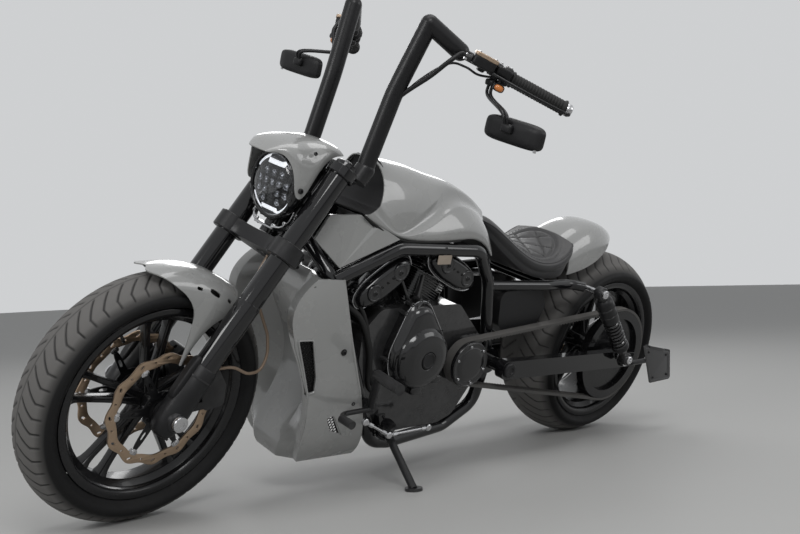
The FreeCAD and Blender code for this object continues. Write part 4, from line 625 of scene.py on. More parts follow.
finishes = {
    "bodyGrey": finish((0.335, 0.338, 0.333), (0.350, 0.353, 0.348), (0.24, 0.30), coat=1.0, grain=90.0,
                       bump=0.02, depth=0.0002, dust=0.05),
    "glossBlack": finish((0.006, 0.006, 0.007), None, (0.07, 0.13), coat=0.55, grain=120.0, bump=0.01,
                         dust=0.02, gloss=0.3),
    "satinBlack": finish((0.009, 0.009, 0.010), None, (0.28, 0.38), grain=900.0, bump=0.06, dust=0.03,
                         wear=0.25, gloss=0.32),
    "castBlack": finish((0.009, 0.009, 0.010), None, (0.34, 0.46), grain=700.0, bump=0.22, dust=0.04,
                        wear=0.2, gloss=0.3),
    "wheelBlack": finish((0.007, 0.007, 0.008), None, (0.20, 0.28), coat=0.25, grain=500.0, bump=0.03,
                         dust=0.03, gloss=0.3),
    # Tread mark colour: painted light on the crown, darker in the grooves as painted shade
    "tyreRubber": finish((0.010, 0.010, 0.011), (0.014, 0.014, 0.014), (0.50, 0.65), grain=600.0, bump=0.12,
                         dust=0.02, mark="tread", markColour=(0.17, 0.165, 0.16), markRough=0.14, gloss=0.18),
    "rotorBronze": finish((0.40, 0.29, 0.20), (0.47, 0.35, 0.25), (0.30, 0.42), metal=0.85, grain=1200.0,
                          bump=0.10, dust=0.0),
    "brightSteel": finish((0.52, 0.52, 0.53), (0.60, 0.60, 0.61), (0.18, 0.30), metal=1.0, grain=800.0,
                          bump=0.04, dust=0.0),
    "engineBlack": finish((0.008, 0.008, 0.009), None, (0.12, 0.20), coat=0.6, grain=500.0, bump=0.06,
                          dust=0.03, wear=0.3, gloss=0.35),
    "exhaustBlack": finish((0.011, 0.011, 0.011), None, (0.36, 0.48), grain=800.0, bump=0.10, dust=0.05,
                           gloss=0.3),
    "coreBlack": finish((0.008, 0.008, 0.008), None, (0.50, 0.60), grain=900.0, bump=0.2, dust=0.06,
                        gloss=0.2),
    "beltRubber": finish((0.075, 0.073, 0.070), (0.095, 0.092, 0.088), (0.60, 0.72), grain=700.0, bump=0.15,
                         dust=0.3),
    "gripRubber": finish((0.013, 0.013, 0.013), None, (0.55, 0.65), grain=900.0, bump=0.1, dust=0.04,
                         gloss=0.3),
    "saddle": finish((0.028, 0.028, 0.030), (0.036, 0.036, 0.038), (0.40, 0.50), grain=420.0, coarse=0.6,
                     bump=0.25, depth=0.0005, dust=0.10, sheen=0.2),
    "stitch": finish((0.10, 0.10, 0.10), None, (0.6, 0.7), grain=900.0, bump=0.1, dust=0.0),
    "mouldedBlack": finish((0.010, 0.010, 0.011), None, (0.38, 0.48), grain=800.0, bump=0.10, dust=0.04,
                           gloss=0.3),
    "meshBlack": finish((0.006, 0.006, 0.006), None, (0.40, 0.50), grain=800.0, bump=0.1, dust=0.0,
                        gloss=0.2),
    "hoseTan": finish((0.26, 0.19, 0.14), (0.34, 0.25, 0.18), (0.45, 0.60), metal=0.2, grain=1500.0,
                      bump=0.3, dust=0.0),
    "lampBezel": finish((0.007, 0.007, 0.008), None, (0.12, 0.2), coat=0.5, grain=200.0, bump=0.01,
                        dust=0.0, gloss=0.3),
    "lampGlass": newMaterial("lampGlass", {"Base Color": (0.97, 0.98, 1.0, 1.0), "Roughness": 0.02,
                             "IOR": 1.45, "Transmission Weight": 1.0, "Specular IOR Level": 0.12}),
    "lightBar": finish((0.92, 0.93, 0.95), (0.95, 0.96, 0.98), (0.2, 0.3), coat=0.5, dust=0.0, bump=0.0),
    "lampLens": finish((0.34, 0.35, 0.37), (0.46, 0.47, 0.50), (0.04, 0.08), metal=0.85, coat=1.0, bump=0.0,
                       dust=0.0),
    "mirrorFace": finish((0.78, 0.78, 0.79), (0.80, 0.80, 0.81), (0.02, 0.04), metal=1.0, bump=0.0, dust=0.0),
    "amber": finish((0.72, 0.22, 0.04), (0.80, 0.28, 0.06), (0.12, 0.2), coat=0.7, bump=0.0, dust=0.0),
    "bronzeTrim": finish((0.42, 0.31, 0.22), (0.50, 0.38, 0.28), (0.28, 0.38), metal=0.7, grain=900.0,
                         bump=0.05, dust=0.0),
    "plateSteel": finish((0.085, 0.085, 0.088), (0.11, 0.11, 0.112), (0.28, 0.40), metal=0.6, grain=700.0,
                         bump=0.05, dust=0.05),
    "plateTan": finish((0.36, 0.30, 0.24), (0.44, 0.37, 0.30), (0.4, 0.5), grain=200.0, bump=0.05, dust=0.1),
}
for title, material in finishes.items():
    material.name = title

# The headlamp's light bars are lit
setInputs(finishes["lightBar"].node_tree.nodes["Principled BSDF"],
          {"Emission Color": (0.95, 0.97, 1.0, 1.0), "Emission Strength": 0.9})

slotFinish = {
    "frame_black": "glossBlack", "satin_black": "satinBlack", "body_grey": "bodyGrey",
    "wheel_black": "wheelBlack",
    "tyre": "tyreRubber", "rotor_bronze": "rotorBronze", "bright_steel": "brightSteel",
    "engine_black": "engineBlack", "exhaust_black": "exhaustBlack", "radiator_black": "coreBlack",
    "belt_rubber": "beltRubber", "grip_rubber": "gripRubber", "seat_leather": "saddle",
    "satin_plastic": "mouldedBlack", "mesh_black": "meshBlack", "hose_tan": "hoseTan",
    "lamp_black": "lampBezel", "lamp_glass": "lampGlass", "lamp_white": "lightBar",
    "mirror_face": "mirrorFace", "indicator_orange": "amber", "bronze_trim": "bronzeTrim",
}


# Carried-over CAD nodes take the finish of their own slot
def dressNodes():
    for part in frame["record"]["subparts"]:
        mesh = nodes[part["node"]].data
        mesh.materials.clear()
        mesh.materials.append(finishes[slotFinish[part["material_slot"]]])


print("finishes ready:", len(finishes))


# Tyres. A point is a turn round the axle and a place along the section: a crown arc, then a bulged side to
# the bead. Each sipe slants forward with the section, then runs straight out to the shoulder. The other side
# is half a pitch on.

tyres = {
    "front": {"radius": 322.0, "width": 134.0, "crown": 68.0, "beadHalf": 46.7, "steps": 840, "across": 53,
              "pitches": 54, "slant": 39.0},
    "rear": {"radius": 330.0, "width": 240.0, "crown": 150.0, "beadHalf": 103.7, "steps": 600, "across": 45,
             "pitches": 44, "slant": 60.0},
    "bead": 248.3,
    "shoulder": 0.44,
    "grooveWidth": 4.2,
    "grooveDepth": 2.4,
    "sideRows": 9,
    # ribs low on the side: height, wave in radians from shoulder to bead, share of the side where they begin
    "sideRibs": (0.5, 38.0, 0.45),
    # shares of the way to the shoulder: both ends of a sipe, its fade there, both ends of its slanted part
    "sipeEnds": (0.08, 0.97),
    "sipeFade": 0.05,
    "slantEnds": (0.1, 0.7),
    # width of a slanted groove against a straight one, read along the tyre
    "slantThin": 0.72,
    # line near the crown's middle: place to the left, half width, depth as a share of a sipe's
    "centreLine": (3.0, 2.0, 0.6),
    # tread paint, a paler crown that is painted light, with painted shade in the grooves: where it ends past the
    # shoulder, its fade, and how much a groove takes away
    "treadPaintedLight": (1.06, 0.25, 0.85),
}


def tyrePatch(sizes, middle):
    radius, crown = sizes["radius"], sizes["crown"]
    shoulder = sizes["width"] * tyres["shoulder"]
    turnEnd = np.arcsin(shoulder / crown)
    turn = np.linspace(-turnEnd, turnEnd, sizes["across"])
    crownLine = np.stack([crown * np.sin(turn), radius - crown + crown * np.cos(turn)], 1)
    top = crownLine[-1]
    low = np.array([sizes["beadHalf"], tyres["bead"]])
    bulge = np.array([sizes["width"] / 2, top[1] * 0.55 + low[1] * 0.45])
    pull = 2 * bulge - (top + low) / 2
    t = np.linspace(0, 1, tyres["sideRows"] + 1)[1:, None]
    side = (1 - t) ** 2 * top + 2 * t * (1 - t) * pull + t ** 2 * low
    ribHigh, ribWave, ribStart = tyres["sideRibs"]
    side[:, 0] += ribHigh * np.cos(t[:, 0] * ribWave) * (t[:, 0] > ribStart)
    section = np.concatenate([side[::-1] * (-1, 1), crownLine, side])
    share = section[:, 0] / shoulder
    onCrown = np.zeros(len(section))
    onCrown[len(side):-len(side)] = 1.0

    angle = np.linspace(0, 2 * np.pi, sizes["steps"], endpoint=False)[:, None]
    out = np.abs(share)[None, :]
    slantStart, slantEnd = tyres["slantEnds"]
    slant = sizes["slant"] * (np.clip(out, slantStart, slantEnd) - slantStart) / (slantEnd - slantStart)
    pitch = 2 * np.pi * radius / sizes["pitches"]
    phase = (angle * radius - slant) / pitch + 0.5 * (share[None, :] < 0)
    away = np.abs(phase - np.round(phase)) * pitch * np.where(out < slantEnd, tyres["slantThin"], 1.0)
    (first, last), fade = tyres["sipeEnds"], tyres["sipeFade"]
    inReach = np.clip((out - first) / fade, 0, 1) * np.clip((last - out) / fade, 0, 1)
    sipe = np.clip(1.6 - away / (tyres["grooveWidth"] / 2), 0, 1) * inReach
    lineLeft, lineHalf, lineShare = tyres["centreLine"]
    centreLine = np.clip(1.4 - np.abs(section[:, 0] - lineLeft) / lineHalf, 0, 1)[None, :] * lineShare
    groove = np.maximum(sipe, centreLine) * onCrown
    depth = groove * tyres["grooveDepth"]
    normal = np.stack([np.sin(np.clip(share, -1, 1) * turnEnd), np.cos(np.clip(share, -1, 1) * turnEnd)], 1)
    lateral = section[None, :, 0] - depth * normal[None, :, 0]
    height = section[None, :, 1] - depth * normal[None, :, 1]
    grid = np.stack([height * np.sin(angle), lateral * np.ones_like(angle), height * np.cos(angle)], -1)
    # Painted light: the crown takes a paler colour, and painted shade darkens it in the grooves
    treadLightEnd, treadLightFade, grooveShade = tyres["treadPaintedLight"]
    treadPaintedLight = onCrown * np.clip((treadLightEnd - np.abs(share)) / treadLightFade, 0, 1)
    mark = (treadPaintedLight[None, :] * (1 - grooveShade * groove)) * np.ones_like(angle)
    return gridPatch(grid + middle, loopRows=True, loopCols=False), mark.ravel()


# Rims: a turned barrel with rolled lips, five pairs of slim straight spokes and a hub

rims = {
    "front": {"half": 52.0, "hub": 34.0, "hubHalf": 62.0, "spokeWide": 19.0, "spokeDeep": 30.0, "bore": 13.0},
    "rear": {"half": 109.0, "hub": 42.0, "hubHalf": 95.0, "spokeWide": 22.0, "spokeDeep": 34.0, "bore": 14.0},
    "flange": 248.0,
    "bead": 229.0,
    "well": 213.0,
    "pairs": 5,
    "innerSpread": 14.0,
    "outerSpread": 9.0,
    "valveTurn": 62.0,
    "valveRadii": (4.5, 4.0, 3.6, 4.2, 4.2),
}


def spinPoint(middle, radius, degrees, left=0.0):
    angle = np.radians(degrees)
    return middle + np.array([radius * np.cos(angle), left, radius * np.sin(angle)])


# A patch list for one rim: rows are (in from the edge, radius) for the barrel and (left, radius) for the hub
def rimPatches(sizes, middle):
    half, flange, bead, well = sizes["half"], rims["flange"], rims["bead"], rims["well"]
    outside = [(1.0, flange - 3.0), (3.0, flange), (5.5, flange - 2.0), (6.0, bead + 2.0), (9.0, bead),
               (19.0, bead), (33.0, well)]
    inside = [(33.0, well - 6.0), (20.0, bead - 7.0), (10.0, bead - 6.0), (4.0, bead - 1.0),
              (1.5, bead + 6.0)]
    outside, inside = [[(half - inward, radius) for inward, radius in rows] for rows in (outside, inside)]
    ring = outside + [(-left, radius) for left, radius in (inside + outside)[::-1]] + inside
    barrel = lathe(softened(ring, 1.6, 3, True), middle, leftWay, 168, loop=True)
    long, hub = sizes["hubHalf"], sizes["hub"]
    hubRows = [(-long, sizes["bore"]), (-long, hub), (-long + 10, hub + 2), (-long * 0.45, hub - 6)]
    hubRows = hubRows + [(-left, radius) for left, radius in hubRows[::-1]]
    core = lathe(softened(hubRows, 3.0, 3, True), middle, leftWay, 48, loop=True)
    t = np.linspace(0, 1, 14)[:, None]
    flare = 1.0 + 0.55 * (1 - t) ** 6 + 0.7 * t ** 14
    wide, deep = (1 - 0.25 * t) * sizes["spokeWide"], (1 - 0.2 * t) * sizes["spokeDeep"]
    size = np.concatenate([wide, deep], 1) * flare / 2
    spokes = []
    for number in range(rims["pairs"]):
        straight = 360 / rims["pairs"] * number + 90
        for side in (-1, 1):
            start = spinPoint(middle, hub * 0.7, straight + side * rims["innerSpread"])
            end = spinPoint(middle, well - 3.0, straight + side * rims["outerSpread"])
            across = np.cross(leftWay, unit(end - start))
            spokes.append(pipe(start * (1 - t) + end * t, size, ovalLine(2, 2, 0.42, 20), start=across))
    foot, tip = [spinPoint(middle, well - inward, rims["valveTurn"]) for inward in (5.0, 38.0)]
    return [barrel, core] + spokes + [pipe(np.linspace(foot, tip, 5), rims["valveRadii"], dome=True)]


def makeWheels():
    wheels = (("front", frontMiddle), ("rear", rearMiddle))
    for name, middle in wheels:
        patch, mark = tyrePatch(tyres[name], middle)
        # Its tread mark is painted light on the crown, with painted shade in the grooves
        piece(name + "TyreRubber", [patch], name + "_wheel", "tyre", [name + "_tyre"], 60, {"tread": mark})
    for name, middle in wheels:
        cast = rimPatches(rims[name], middle)
        piece(name + "RimCast", cast, name + "_wheel", "wheel_black", [name + "_rim"], 40)


# Brake rotors: a ring with wavy edges, slots and holes through it, on a star with bright drive tabs

rotors = {
    "radius": 146.0,
    "wave": 4.0,
    "waves": 12,
    "inner": 118.0,
    "thick": 4.6,
    "front": 68.5,
    "rear": -123.8,
    "tabs": 6,
    # radius, length, width and slant of the slots and of the small holes between them
    "slot": (134.0, 12.0, 6.0, 60.0),
    "hole": (129.0, 5.5, 5.5, 0.0),
    "tab": (116.0, 22.0, 15.0, 90.0),
    "frontHub": 34.0,
    "rearHub": 36.0,
    "boltCircle": 40.0,
    # (out from the wheel's middle, radius) round the spacer behind each star
    "frontCollar": [(62.3, 20.5), (62.3, 34.0), (67.5, 34.0), (67.5, 20.5)],
    "rearCollar": [(95.3, 25.5), (95.3, 42.0), (121.0, 42.0), (121.0, 25.5)],
}


def waveLine(radius, wave, count, steps=360):
    angle = np.linspace(0, 2 * np.pi, steps, endpoint=False)
    reach = radius + wave * np.cos(angle * count)
    return np.stack([reach * np.cos(angle), reach * np.sin(angle)], 1)


# An oval turned to an angle and set out at a radius, in the rotor's plane
def slotLine(radius, long, wide, slant, degrees, steps=14):
    oval = ovalLine(long, wide, 0.75, steps)
    turn = np.radians(degrees + slant)
    spun = np.stack([oval[:, 0] * np.cos(turn) - oval[:, 1] * np.sin(turn),
                     oval[:, 0] * np.sin(turn) + oval[:, 1] * np.cos(turn)], 1)
    out = np.radians(degrees)
    return spun + radius * np.array([np.cos(out), np.sin(out)])


# A flat plate in the rotor's plane, its thickness a share of the rotor's
def rotorPlate(loops, share, middle, left):
    return plate(loops, rotors["thick"] * share, 0.7, middle + (0, left, 0))


def rotorRing(middle, left):
    loops = [waveLine(rotors["radius"] - rotors["wave"], rotors["wave"], rotors["waves"]),
             waveLine(rotors["inner"], 1.6, rotors["waves"])]
    for number in range(rotors["waves"]):
        at = 360 / rotors["waves"] * number
        loops += [slotLine(*rotors["slot"], at), slotLine(*rotors["hole"], at + 15.0, 10)]
    return rotorPlate(loops, 1.0, middle, left)


# Star: a ring round the hub with arms that swell at both ends
def rotorStar(middle, left, hub):
    angle = np.linspace(0, 2 * np.pi, 360, endpoint=False)
    wave = np.clip(np.cos(angle * rotors["tabs"]), 0, 1) ** 3
    reach = hub + 14.0 + (rotors["inner"] - hub - 15.0) * wave
    loops = [np.stack([reach * np.cos(angle), reach * np.sin(angle)], 1), waveLine(hub - 4.0, 0.0, 1, 60)]
    loops += [slotLine(hub + 40.0, 22.0, 8.0, 0.0, 360 / rotors["tabs"] * n) for n in range(rotors["tabs"])]
    return rotorPlate(loops, 0.9, middle, left)


def rotorTabs(middle, left, side):
    rivet = [(0, 6.5), (3.2, 6.5), (3.8, 5.5), (3.8, 2.6), (1.5, 2.2), (1.5, 0)]
    tabs = []
    for number in range(rotors["tabs"]):
        at = 360 / rotors["tabs"] * number
        tabs.append(rotorPlate([slotLine(*rotors["tab"], at, 24)], 1.15, middle, left))
        tabs.append(lathe(rivet, spinPoint(middle, rotors["tab"][0], at, left + side), (0, side, 0), 18))
    return tabs


def makeRotors():
    rings, stars, tabs = [], [], []
    for side in (-1, 1):
        left, way = side * rotors["front"], (0, side, 0)
        rings.append(rotorRing(frontMiddle, left))
        stars.append(rotorStar(frontMiddle, left, rotors["frontHub"]))
        for n in range(6):
            foot = spinPoint(frontMiddle, rotors["boltCircle"], 60 * n + 30, left + 0.4 * side)
            stars.append(screw(foot, way, 5.0, 3.0))
        stars.append(lathe(rotors["frontCollar"], frontMiddle, way, 36, True))
        tabs += rotorTabs(frontMiddle, left, side)
    piece("frontRotorRings", rings, "front_wheel", "rotor_bronze", ["front_rotors"])
    piece("frontRotorStars", stars, "front_wheel", "wheel_black", look="satinBlack")
    piece("frontRotorTabs", tabs, "front_wheel", "bright_steel")
    left = rotors["rear"]
    piece("rearRotorRing", [rotorRing(rearMiddle, left)], "rear_wheel", "rotor_bronze", ["rear_rotor"])
    star = [rotorStar(rearMiddle, left, rotors["rearHub"]),
            lathe(rotors["rearCollar"], rearMiddle, (0, -1, 0), 36, True)]
    piece("rearRotorStar", star, "rear_wheel", "wheel_black", look="satinBlack")
    piece("rearRotorTabs", rotorTabs(rearMiddle, left, -1), "rear_wheel", "bright_steel")


makeWheels()
makeRotors()
print("wheels ready:", pieceCount)


# Fork, drawn ahead of the steering axis, left and up along it

fork = {
    "ahead": 60.0,
    "spread": 110.0,
    "tube": 29.0,
    "top": 742.0,
    "seam": 317.0,
    "castingTop": 138.0,
    "foot": -52.0,
    "lowerClamp": (448.0, 494.0),
    "upperClamp": (700.0, 726.0),
    "lowerBoss": 42.0,
    "upperBoss": 38.5,
    # half outlines of the webs: ahead of the steering axis, left
    "lowerWeb": [(74, 0), (78, 60), (88, 84), (24, 92), (-12, 60), (-36, 30), (-38, 0)],
    "upperWeb": [(52, 0), (56, 60), (70, 84), (34, 90), (-8, 56), (-30, 26), (-32, 0)],
    # housings on each casting: (ahead, out, up), half sizes, power
    "lugs": [((32, 0, 96), (13, 13, 58), 0.5), ((-33, -8, 70), (17, 11, 20), 0.45),
             ((-36, -8, -6), (20, 11, 16), 0.45)],
}


# A point by one leg: ahead of the leg's middle, out from it and up along it
def byLeg(side, ahead=0.0, out=0.0, up=0.0):
    return inFork([fork["ahead"] + ahead, (fork["spread"] + out) * side, up])


def makeFork():
    top, tube, seam, cast = fork["top"], fork["tube"], fork["seam"], fork["castingTop"]
    # (up along the leg, radius)
    tubeRows = [(top, 0), (top, 16), (top - 2, 24), (top - 6, 28), (top - 14, tube), (seam + 4, tube),
                (seam + 3, 30.4), (seam - 4, 30.8), (cast + 6, 30.8), (cast - 4, 30.0)]
    capRows = [(top - 1, 0), (top + 3, 0), (top + 3, 12), (top + 1, 15), (top - 1, 15)]
    castRows = [(cast + 1, 28), (cast + 1, 32), (cast - 3, 34.5), (60, 35.5), (20, 37), (-14, 36), (-34, 31),
                (-46, 22), (-51, 10), (fork["foot"], 0)]
    seamRows = [(cast - 26, 35.2), (cast - 26, 36.2), (cast - 30, 36.2), (cast - 30, 35.2)]
    clampRows = [(0, 14), (0, 24), (3, 27), (66, 27), (72, 23), (72, 15), (60, 13), (60, 0)]
    for side, word in ((1, "left"), (-1, "right")):
        leg = byLeg(side)
        piece("fork_" + word + "Tube", [lathe(tubeRows, leg, forkUp, 56)], "steering", "frame_black",
              ["fork_" + word])
        casting = [lathe(castRows, leg, forkUp, 56), lathe(clampRows, byLeg(side, out=-36), (0, side, 0), 40)]
        casting += [housing(byLeg(side, *place), halves, forkAhead, leftWay, power)
                    for place, halves, power in fork["lugs"]]
        casting += [screw(byLeg(side, -16, out * side, -44), -forkUp, 6.0, 6.0) for out in (-13, 13)]
        piece("fork_" + word + "Casting", casting, "steering", "satin_black", look="castBlack")
        cap = [lathe(capRows, leg, forkUp, 32), lathe(seamRows, leg, forkUp, 48)]
        piece("fork_" + word + "Cap", cap, "steering", "satin_black")


# A yoke: bosses round both legs, a boss round the stem, and a web drawn for one side and mirrored
def yoke(low, high, boss, web, stem):
    middle, height = (low + high) / 2, high - low
    rows = [(low, 29.2), (low, boss - 2), (low + 2, boss), (high - 2, boss), (high, boss - 2), (high, 29.2)]
    patches = []
    for side in (-1, 1):
        patches.append(lathe(rows, byLeg(side), forkUp, 56, True))
        ear = byLeg(side, 1 - boss, 0, middle)
        patches.append(housing(ear, (8, 17, height / 2 - 2), forkAhead, leftWay, 0.4))
        for level in ((-0.25, 0.25) if height > 30 else (0.0,)):
            place = byLeg(side, 1 - boss, 17, middle + height * level)
            patches.append(screw(place, (0, side, 0), 5.5, 6.0))
    half = softened(web, 14.0, 5)
    outline = np.concatenate([half, half[::-1] * (1, -1)])
    patches.append(plate([outline], height * 0.86, 3.0, inFork([0, 0, middle]), forkAhead, leftWay))
    rows = [(low + 1, 0), (low + 1, stem), (high + 1, stem), (high + 3, stem - 3), (high + 3, 0)]
    return patches + [lathe(rows, forkOrigin, forkUp, 40)]


def makeClamps():
    low, high = fork["lowerClamp"]
    lower = yoke(low + 1, high, fork["lowerBoss"], fork["lowerWeb"], 33.0)
    piece("lowerYoke", lower, "steering", "satin_black", ["lower_clamp"])
    stem = lathe([(high, 15), (fork["upperClamp"][0], 15)], forkOrigin, forkUp, 24)
    piece("steeringStem", [stem], "steering", "bright_steel")
    upper = yoke(*fork["upperClamp"], fork["upperBoss"], fork["upperWeb"], 30.0)
    piece("upperYoke", upper, "steering", "frame_black", ["upper_clamp"])


def makeFrontAxle():
    sleeve = [(62.5, 12), (145, 12), (145, 20), (150, 21), (156, 19), (157, 15), (157, 8.4), (140, 8.4)]
    patches = [lathe(sleeve, frontMiddle, (0, side, 0), 32) for side in (-1, 1)]
    patches.append(lathe([(-156, 0), (-156, 8.4), (156, 8.4), (156, 0)], frontMiddle, leftWay, 32))
    piece("frontAxleEnds", patches, "steering", "bright_steel", ["front_axle"])


makeFork()
makeClamps()
print("fork ready:", pieceCount)


# Front fender: rows across the tyre, each an arc round the axle from its front edge to its rear edge.
# Past the shoulder the rows fall straight down the side and narrow into the stay.

fender = {
    # left, radius, front and rear end of the arc in degrees ahead of the top
    "rows": [
        (0.0, 342.0, 9.0, -34.0),
        (26.0, 341.0, 11.4, -34.0),
        (49.0, 332.0, 8.2, -33.6),
        (63.0, 319.0, 4.6, -33.0),
        (71.5, 304.0, 0.8, -33.4),
        (76.5, 287.0, -3.6, -35.6),
        (79.0, 262.0, -8.2, -31.0),
        (80.0, 236.0, -10.6, -26.4),
        (80.3, 205.0, -11.4, -22.6),
        (80.5, 165.0, -11.4, -18.8),
        (80.5, 118.0, -10.6, -15.0),
    ],
    "wall": 3.2,
    "rise": 3.0,
    # place round the arc, left, radius, length, height, slant
    "vents": [(-10.0, 70.5, 306.0, 17.0, 8.0, -8.0), (-19.0, 71.5, 303.0, 34.0, 13.0, -12.0),
              (-28.6, 72.5, 300.0, 15.0, 9.0, -12.0)],
}


def fenderHalf():
    rows = smoothThrough(np.array(fender["rows"]), 5)
    t = np.linspace(0, 1, 44)[None, :]
    left, radius, front, rear = [rows[:, k][:, None] for k in range(4)]
    angle = np.radians(front * (1 - t) + rear * t)
    side = np.clip((left - 60.0) / 20.0, 0, 1)
    belly = fender["rise"] * np.sin(np.pi * t) * side
    tip = 5.0 * (1 - t) ** 8 * (1 - side)
    reach = radius + tip
    return np.stack([reach * np.sin(angle), left + belly + 0 * t, reach * np.cos(angle)], -1) + frontMiddle


def makeFender():
    half = fenderHalf()
    whole = np.concatenate([(half * (1, -1, 1))[::-1], half[1:]])
    shell = thickened(gridPatch(whole, loopCols=False), fender["wall"])
    for at, left, radius, long, wide, slant in fender["vents"]:
        angle = np.radians(at)
        around = np.array([np.cos(angle), 0, -np.sin(angle)])
        outward = np.array([np.sin(angle), 0, np.cos(angle)])
        for side in (-1, 1):
            away = unit(outward * 0.55 + leftWay * side * 0.83)
            middle = frontMiddle + outward * radius + leftWay * side * left
            cutter = pipe([middle - away * 30, middle + away * 30], [[long / 2, wide / 2]],
                          ovalLine(2, 2, 0.6, 20), start=turnVector(around, away, slant * side))
            shell = cutOut(shell, cutter)
    piece("frontFenderShell", [shell], "steering", "body_grey", ["front_fender"], 32)


makeFender()
print("fender ready:", pieceCount)


# Headlamp: a turned bowl and bezel, a bulged glass, rows of small lenses, light bars, arcs and a bracket

lamp = {
    "middle": (1422.0, 0.0, 858.0),
    # (ahead of the middle, radius)
    "bowl": [(-9, 72), (5, 74.5), (10, 77), (11, 81), (8, 85.5), (2, 88), (-8, 88.6), (-12, 87), (-16, 80),
             (-30, 74), (-52, 58), (-66, 40), (-70, 30), (-70, 0)],
    "bucket": [(-4, 73.5), (-14, 68), (-18, 50), (-20, 0)],
    "dome": [(4, 75.5), (9, 70), (14, 56), (18, 34), (20, 0)],
    "glass": 2.2,
    "lensRadius": 9.5,
    # height of a row, places to the left
    "lensRows": [(27.0, (-26.0, 0.0, 26.0)), (5.0, (-45.0, -22.5, 0.0, 22.5, 45.0)),
                 (-17.0, (-45.0, -22.5, 22.5, 45.0)), (-37.0, (-24.0, 24.0))],
    "notches": 28,
    "notchRadius": 83.2,
    # height and half length of each light bar, ends of each arc in degrees
    "bars": [(51.0, 27.0), (-56.0, 25.0)],
    "arcs": [(28.0, 66.0), (-66.0, -28.0)],
    "arcRadius": 67.0,
}


def makeHeadlamp():
    middle = np.array(lamp["middle"])
    ahead, upWay = np.array([1.0, 0.0, 0.0]), np.array([0.0, 0.0, 1.0])
    bowl = [lathe(softened(lamp["bowl"], 2.0, 3), middle, ahead, 72),
            pipe([inFork([54.0, 0.0, 494.5]), middle + (-35, 0, -53)], [15.0, 13.0]),
            pipe([middle + (-36, -90, 0), middle + (-36, 90, 0)], 8.0)]
    for turn in 2 * np.pi * np.arange(lamp["notches"]) / lamp["notches"]:
        out = np.array([0, np.cos(turn), np.sin(turn)])
        bowl.append(housing(middle + out * lamp["notchRadius"] + ahead * 9.5, (1.9, 3.0, 2.0), ahead,
                            np.cross(out, ahead), 0.4, (6, 8)))
    piece("headlampBowl", bowl, "steering", "lamp_black", ["headlamp"], 40)

    r = lamp["lensRadius"]
    lensRows = [(0, r), (6, r), (9, r * 0.8), (11, r * 0.45), (12, 0)]
    ringRows = [(0, r + 0.4), (8, r + 0.4), (9, r + 1.6), (7, r + 2.6), (0, r + 2.8)]
    spots = [middle + (-17.0, left, up) for up, places in lamp["lensRows"] for left in places]
    rings = [lathe(ringRows, spot, ahead, 24, True) for spot in spots]
    piece("headlampBucket", [lathe(lamp["bucket"], middle, ahead, 60)] + rings, "steering", "lamp_black")
    lenses = [lathe(lensRows, spot, ahead, 20) for spot in spots]
    piece("headlampLenses", lenses, "steering", "lamp_glass", look="lampLens")
    bars = [pipe([middle + (-8, -half, up), middle + (-8, half, up)], [[5.0, 4.0]], ovalLine(2, 2, 0.5, 16),
                 start=upWay) for up, half in lamp["bars"]]
    for low, high in lamp["arcs"]:
        for side in (-1, 1):
            turn = np.radians(np.linspace(low, high, 12))[:, None]
            around = leftWay * np.cos(turn) * side + upWay * np.sin(turn)
            bars.append(pipe(middle + ahead * -6 + around * lamp["arcRadius"], [[4.0, 3.0]], start=ahead))
    piece("headlampLights", bars, "steering", "lamp_white")
    outer = softened(lamp["dome"], 8.0, 4)
    glass = np.concatenate([outer, outer[::-1] - (lamp["glass"], 0)])
    piece("headlampGlass", [lathe(glass, middle, ahead, 60)], "steering", "lamp_glass", angle=50)

    bracket = []
    strap = {"size": [[8.0, 3.0]], "outline": ovalLine(2, 2, 0.4, 16), "start": ahead}
    for side in (-1, 1):
        places = [(-30, 62 * side, -58), (-14, 66 * side, -82), (-2, 52 * side, -100), (8, 30 * side, -104)]
        bracket.append(pipe(smoothThrough(middle + places, 6), **strap))
        bracket.append(screw(middle + (6, 34 * side, -98), (1, 0, 0.2), 6.5, 6.0))
        bracket.append(screw(middle + (-6, 60 * side, -84), ahead, 5.5, 6.0))
    strap["size"] = [[9.0, 3.0]]
    bracket.append(pipe([middle + (6, -34, -103), middle + (6, 34, -103)], **strap))
    bracket.append(pipe([middle + (-30, 0, -86), middle + (2, 0, -101)], 6.0))
    piece("headlampBracket", bracket, "steering", "bright_steel")


# Hood over the lamp: columns from front to rear, each falling from the crown to its place on the lower edge

hood = {
    # crown x and z, edge x and z, half width
    "columns": [
        (1500.0, 949.0, 1486.0, 946.0, 40.0),
        (1466.0, 974.0, 1463.0, 954.0, 64.0),
        (1430.0, 985.0, 1441.0, 915.0, 88.0),
        (1400.0, 989.0, 1438.0, 848.0, 97.0),
        (1375.0, 990.0, 1408.0, 841.0, 97.0),
        (1345.0, 988.0, 1366.0, 918.0, 89.0),
        (1318.0, 984.0, 1318.0, 955.0, 78.0),
        (1300.0, 979.0, 1268.0, 949.0, 66.0),
    ],
    "fall": (0.0, 0.05, 0.2, 0.5, 0.8, 1.0),
    "spread": (0.0, 0.45, 0.80, 0.97, 1.0, 1.0),
    "wall": 3.0,
}


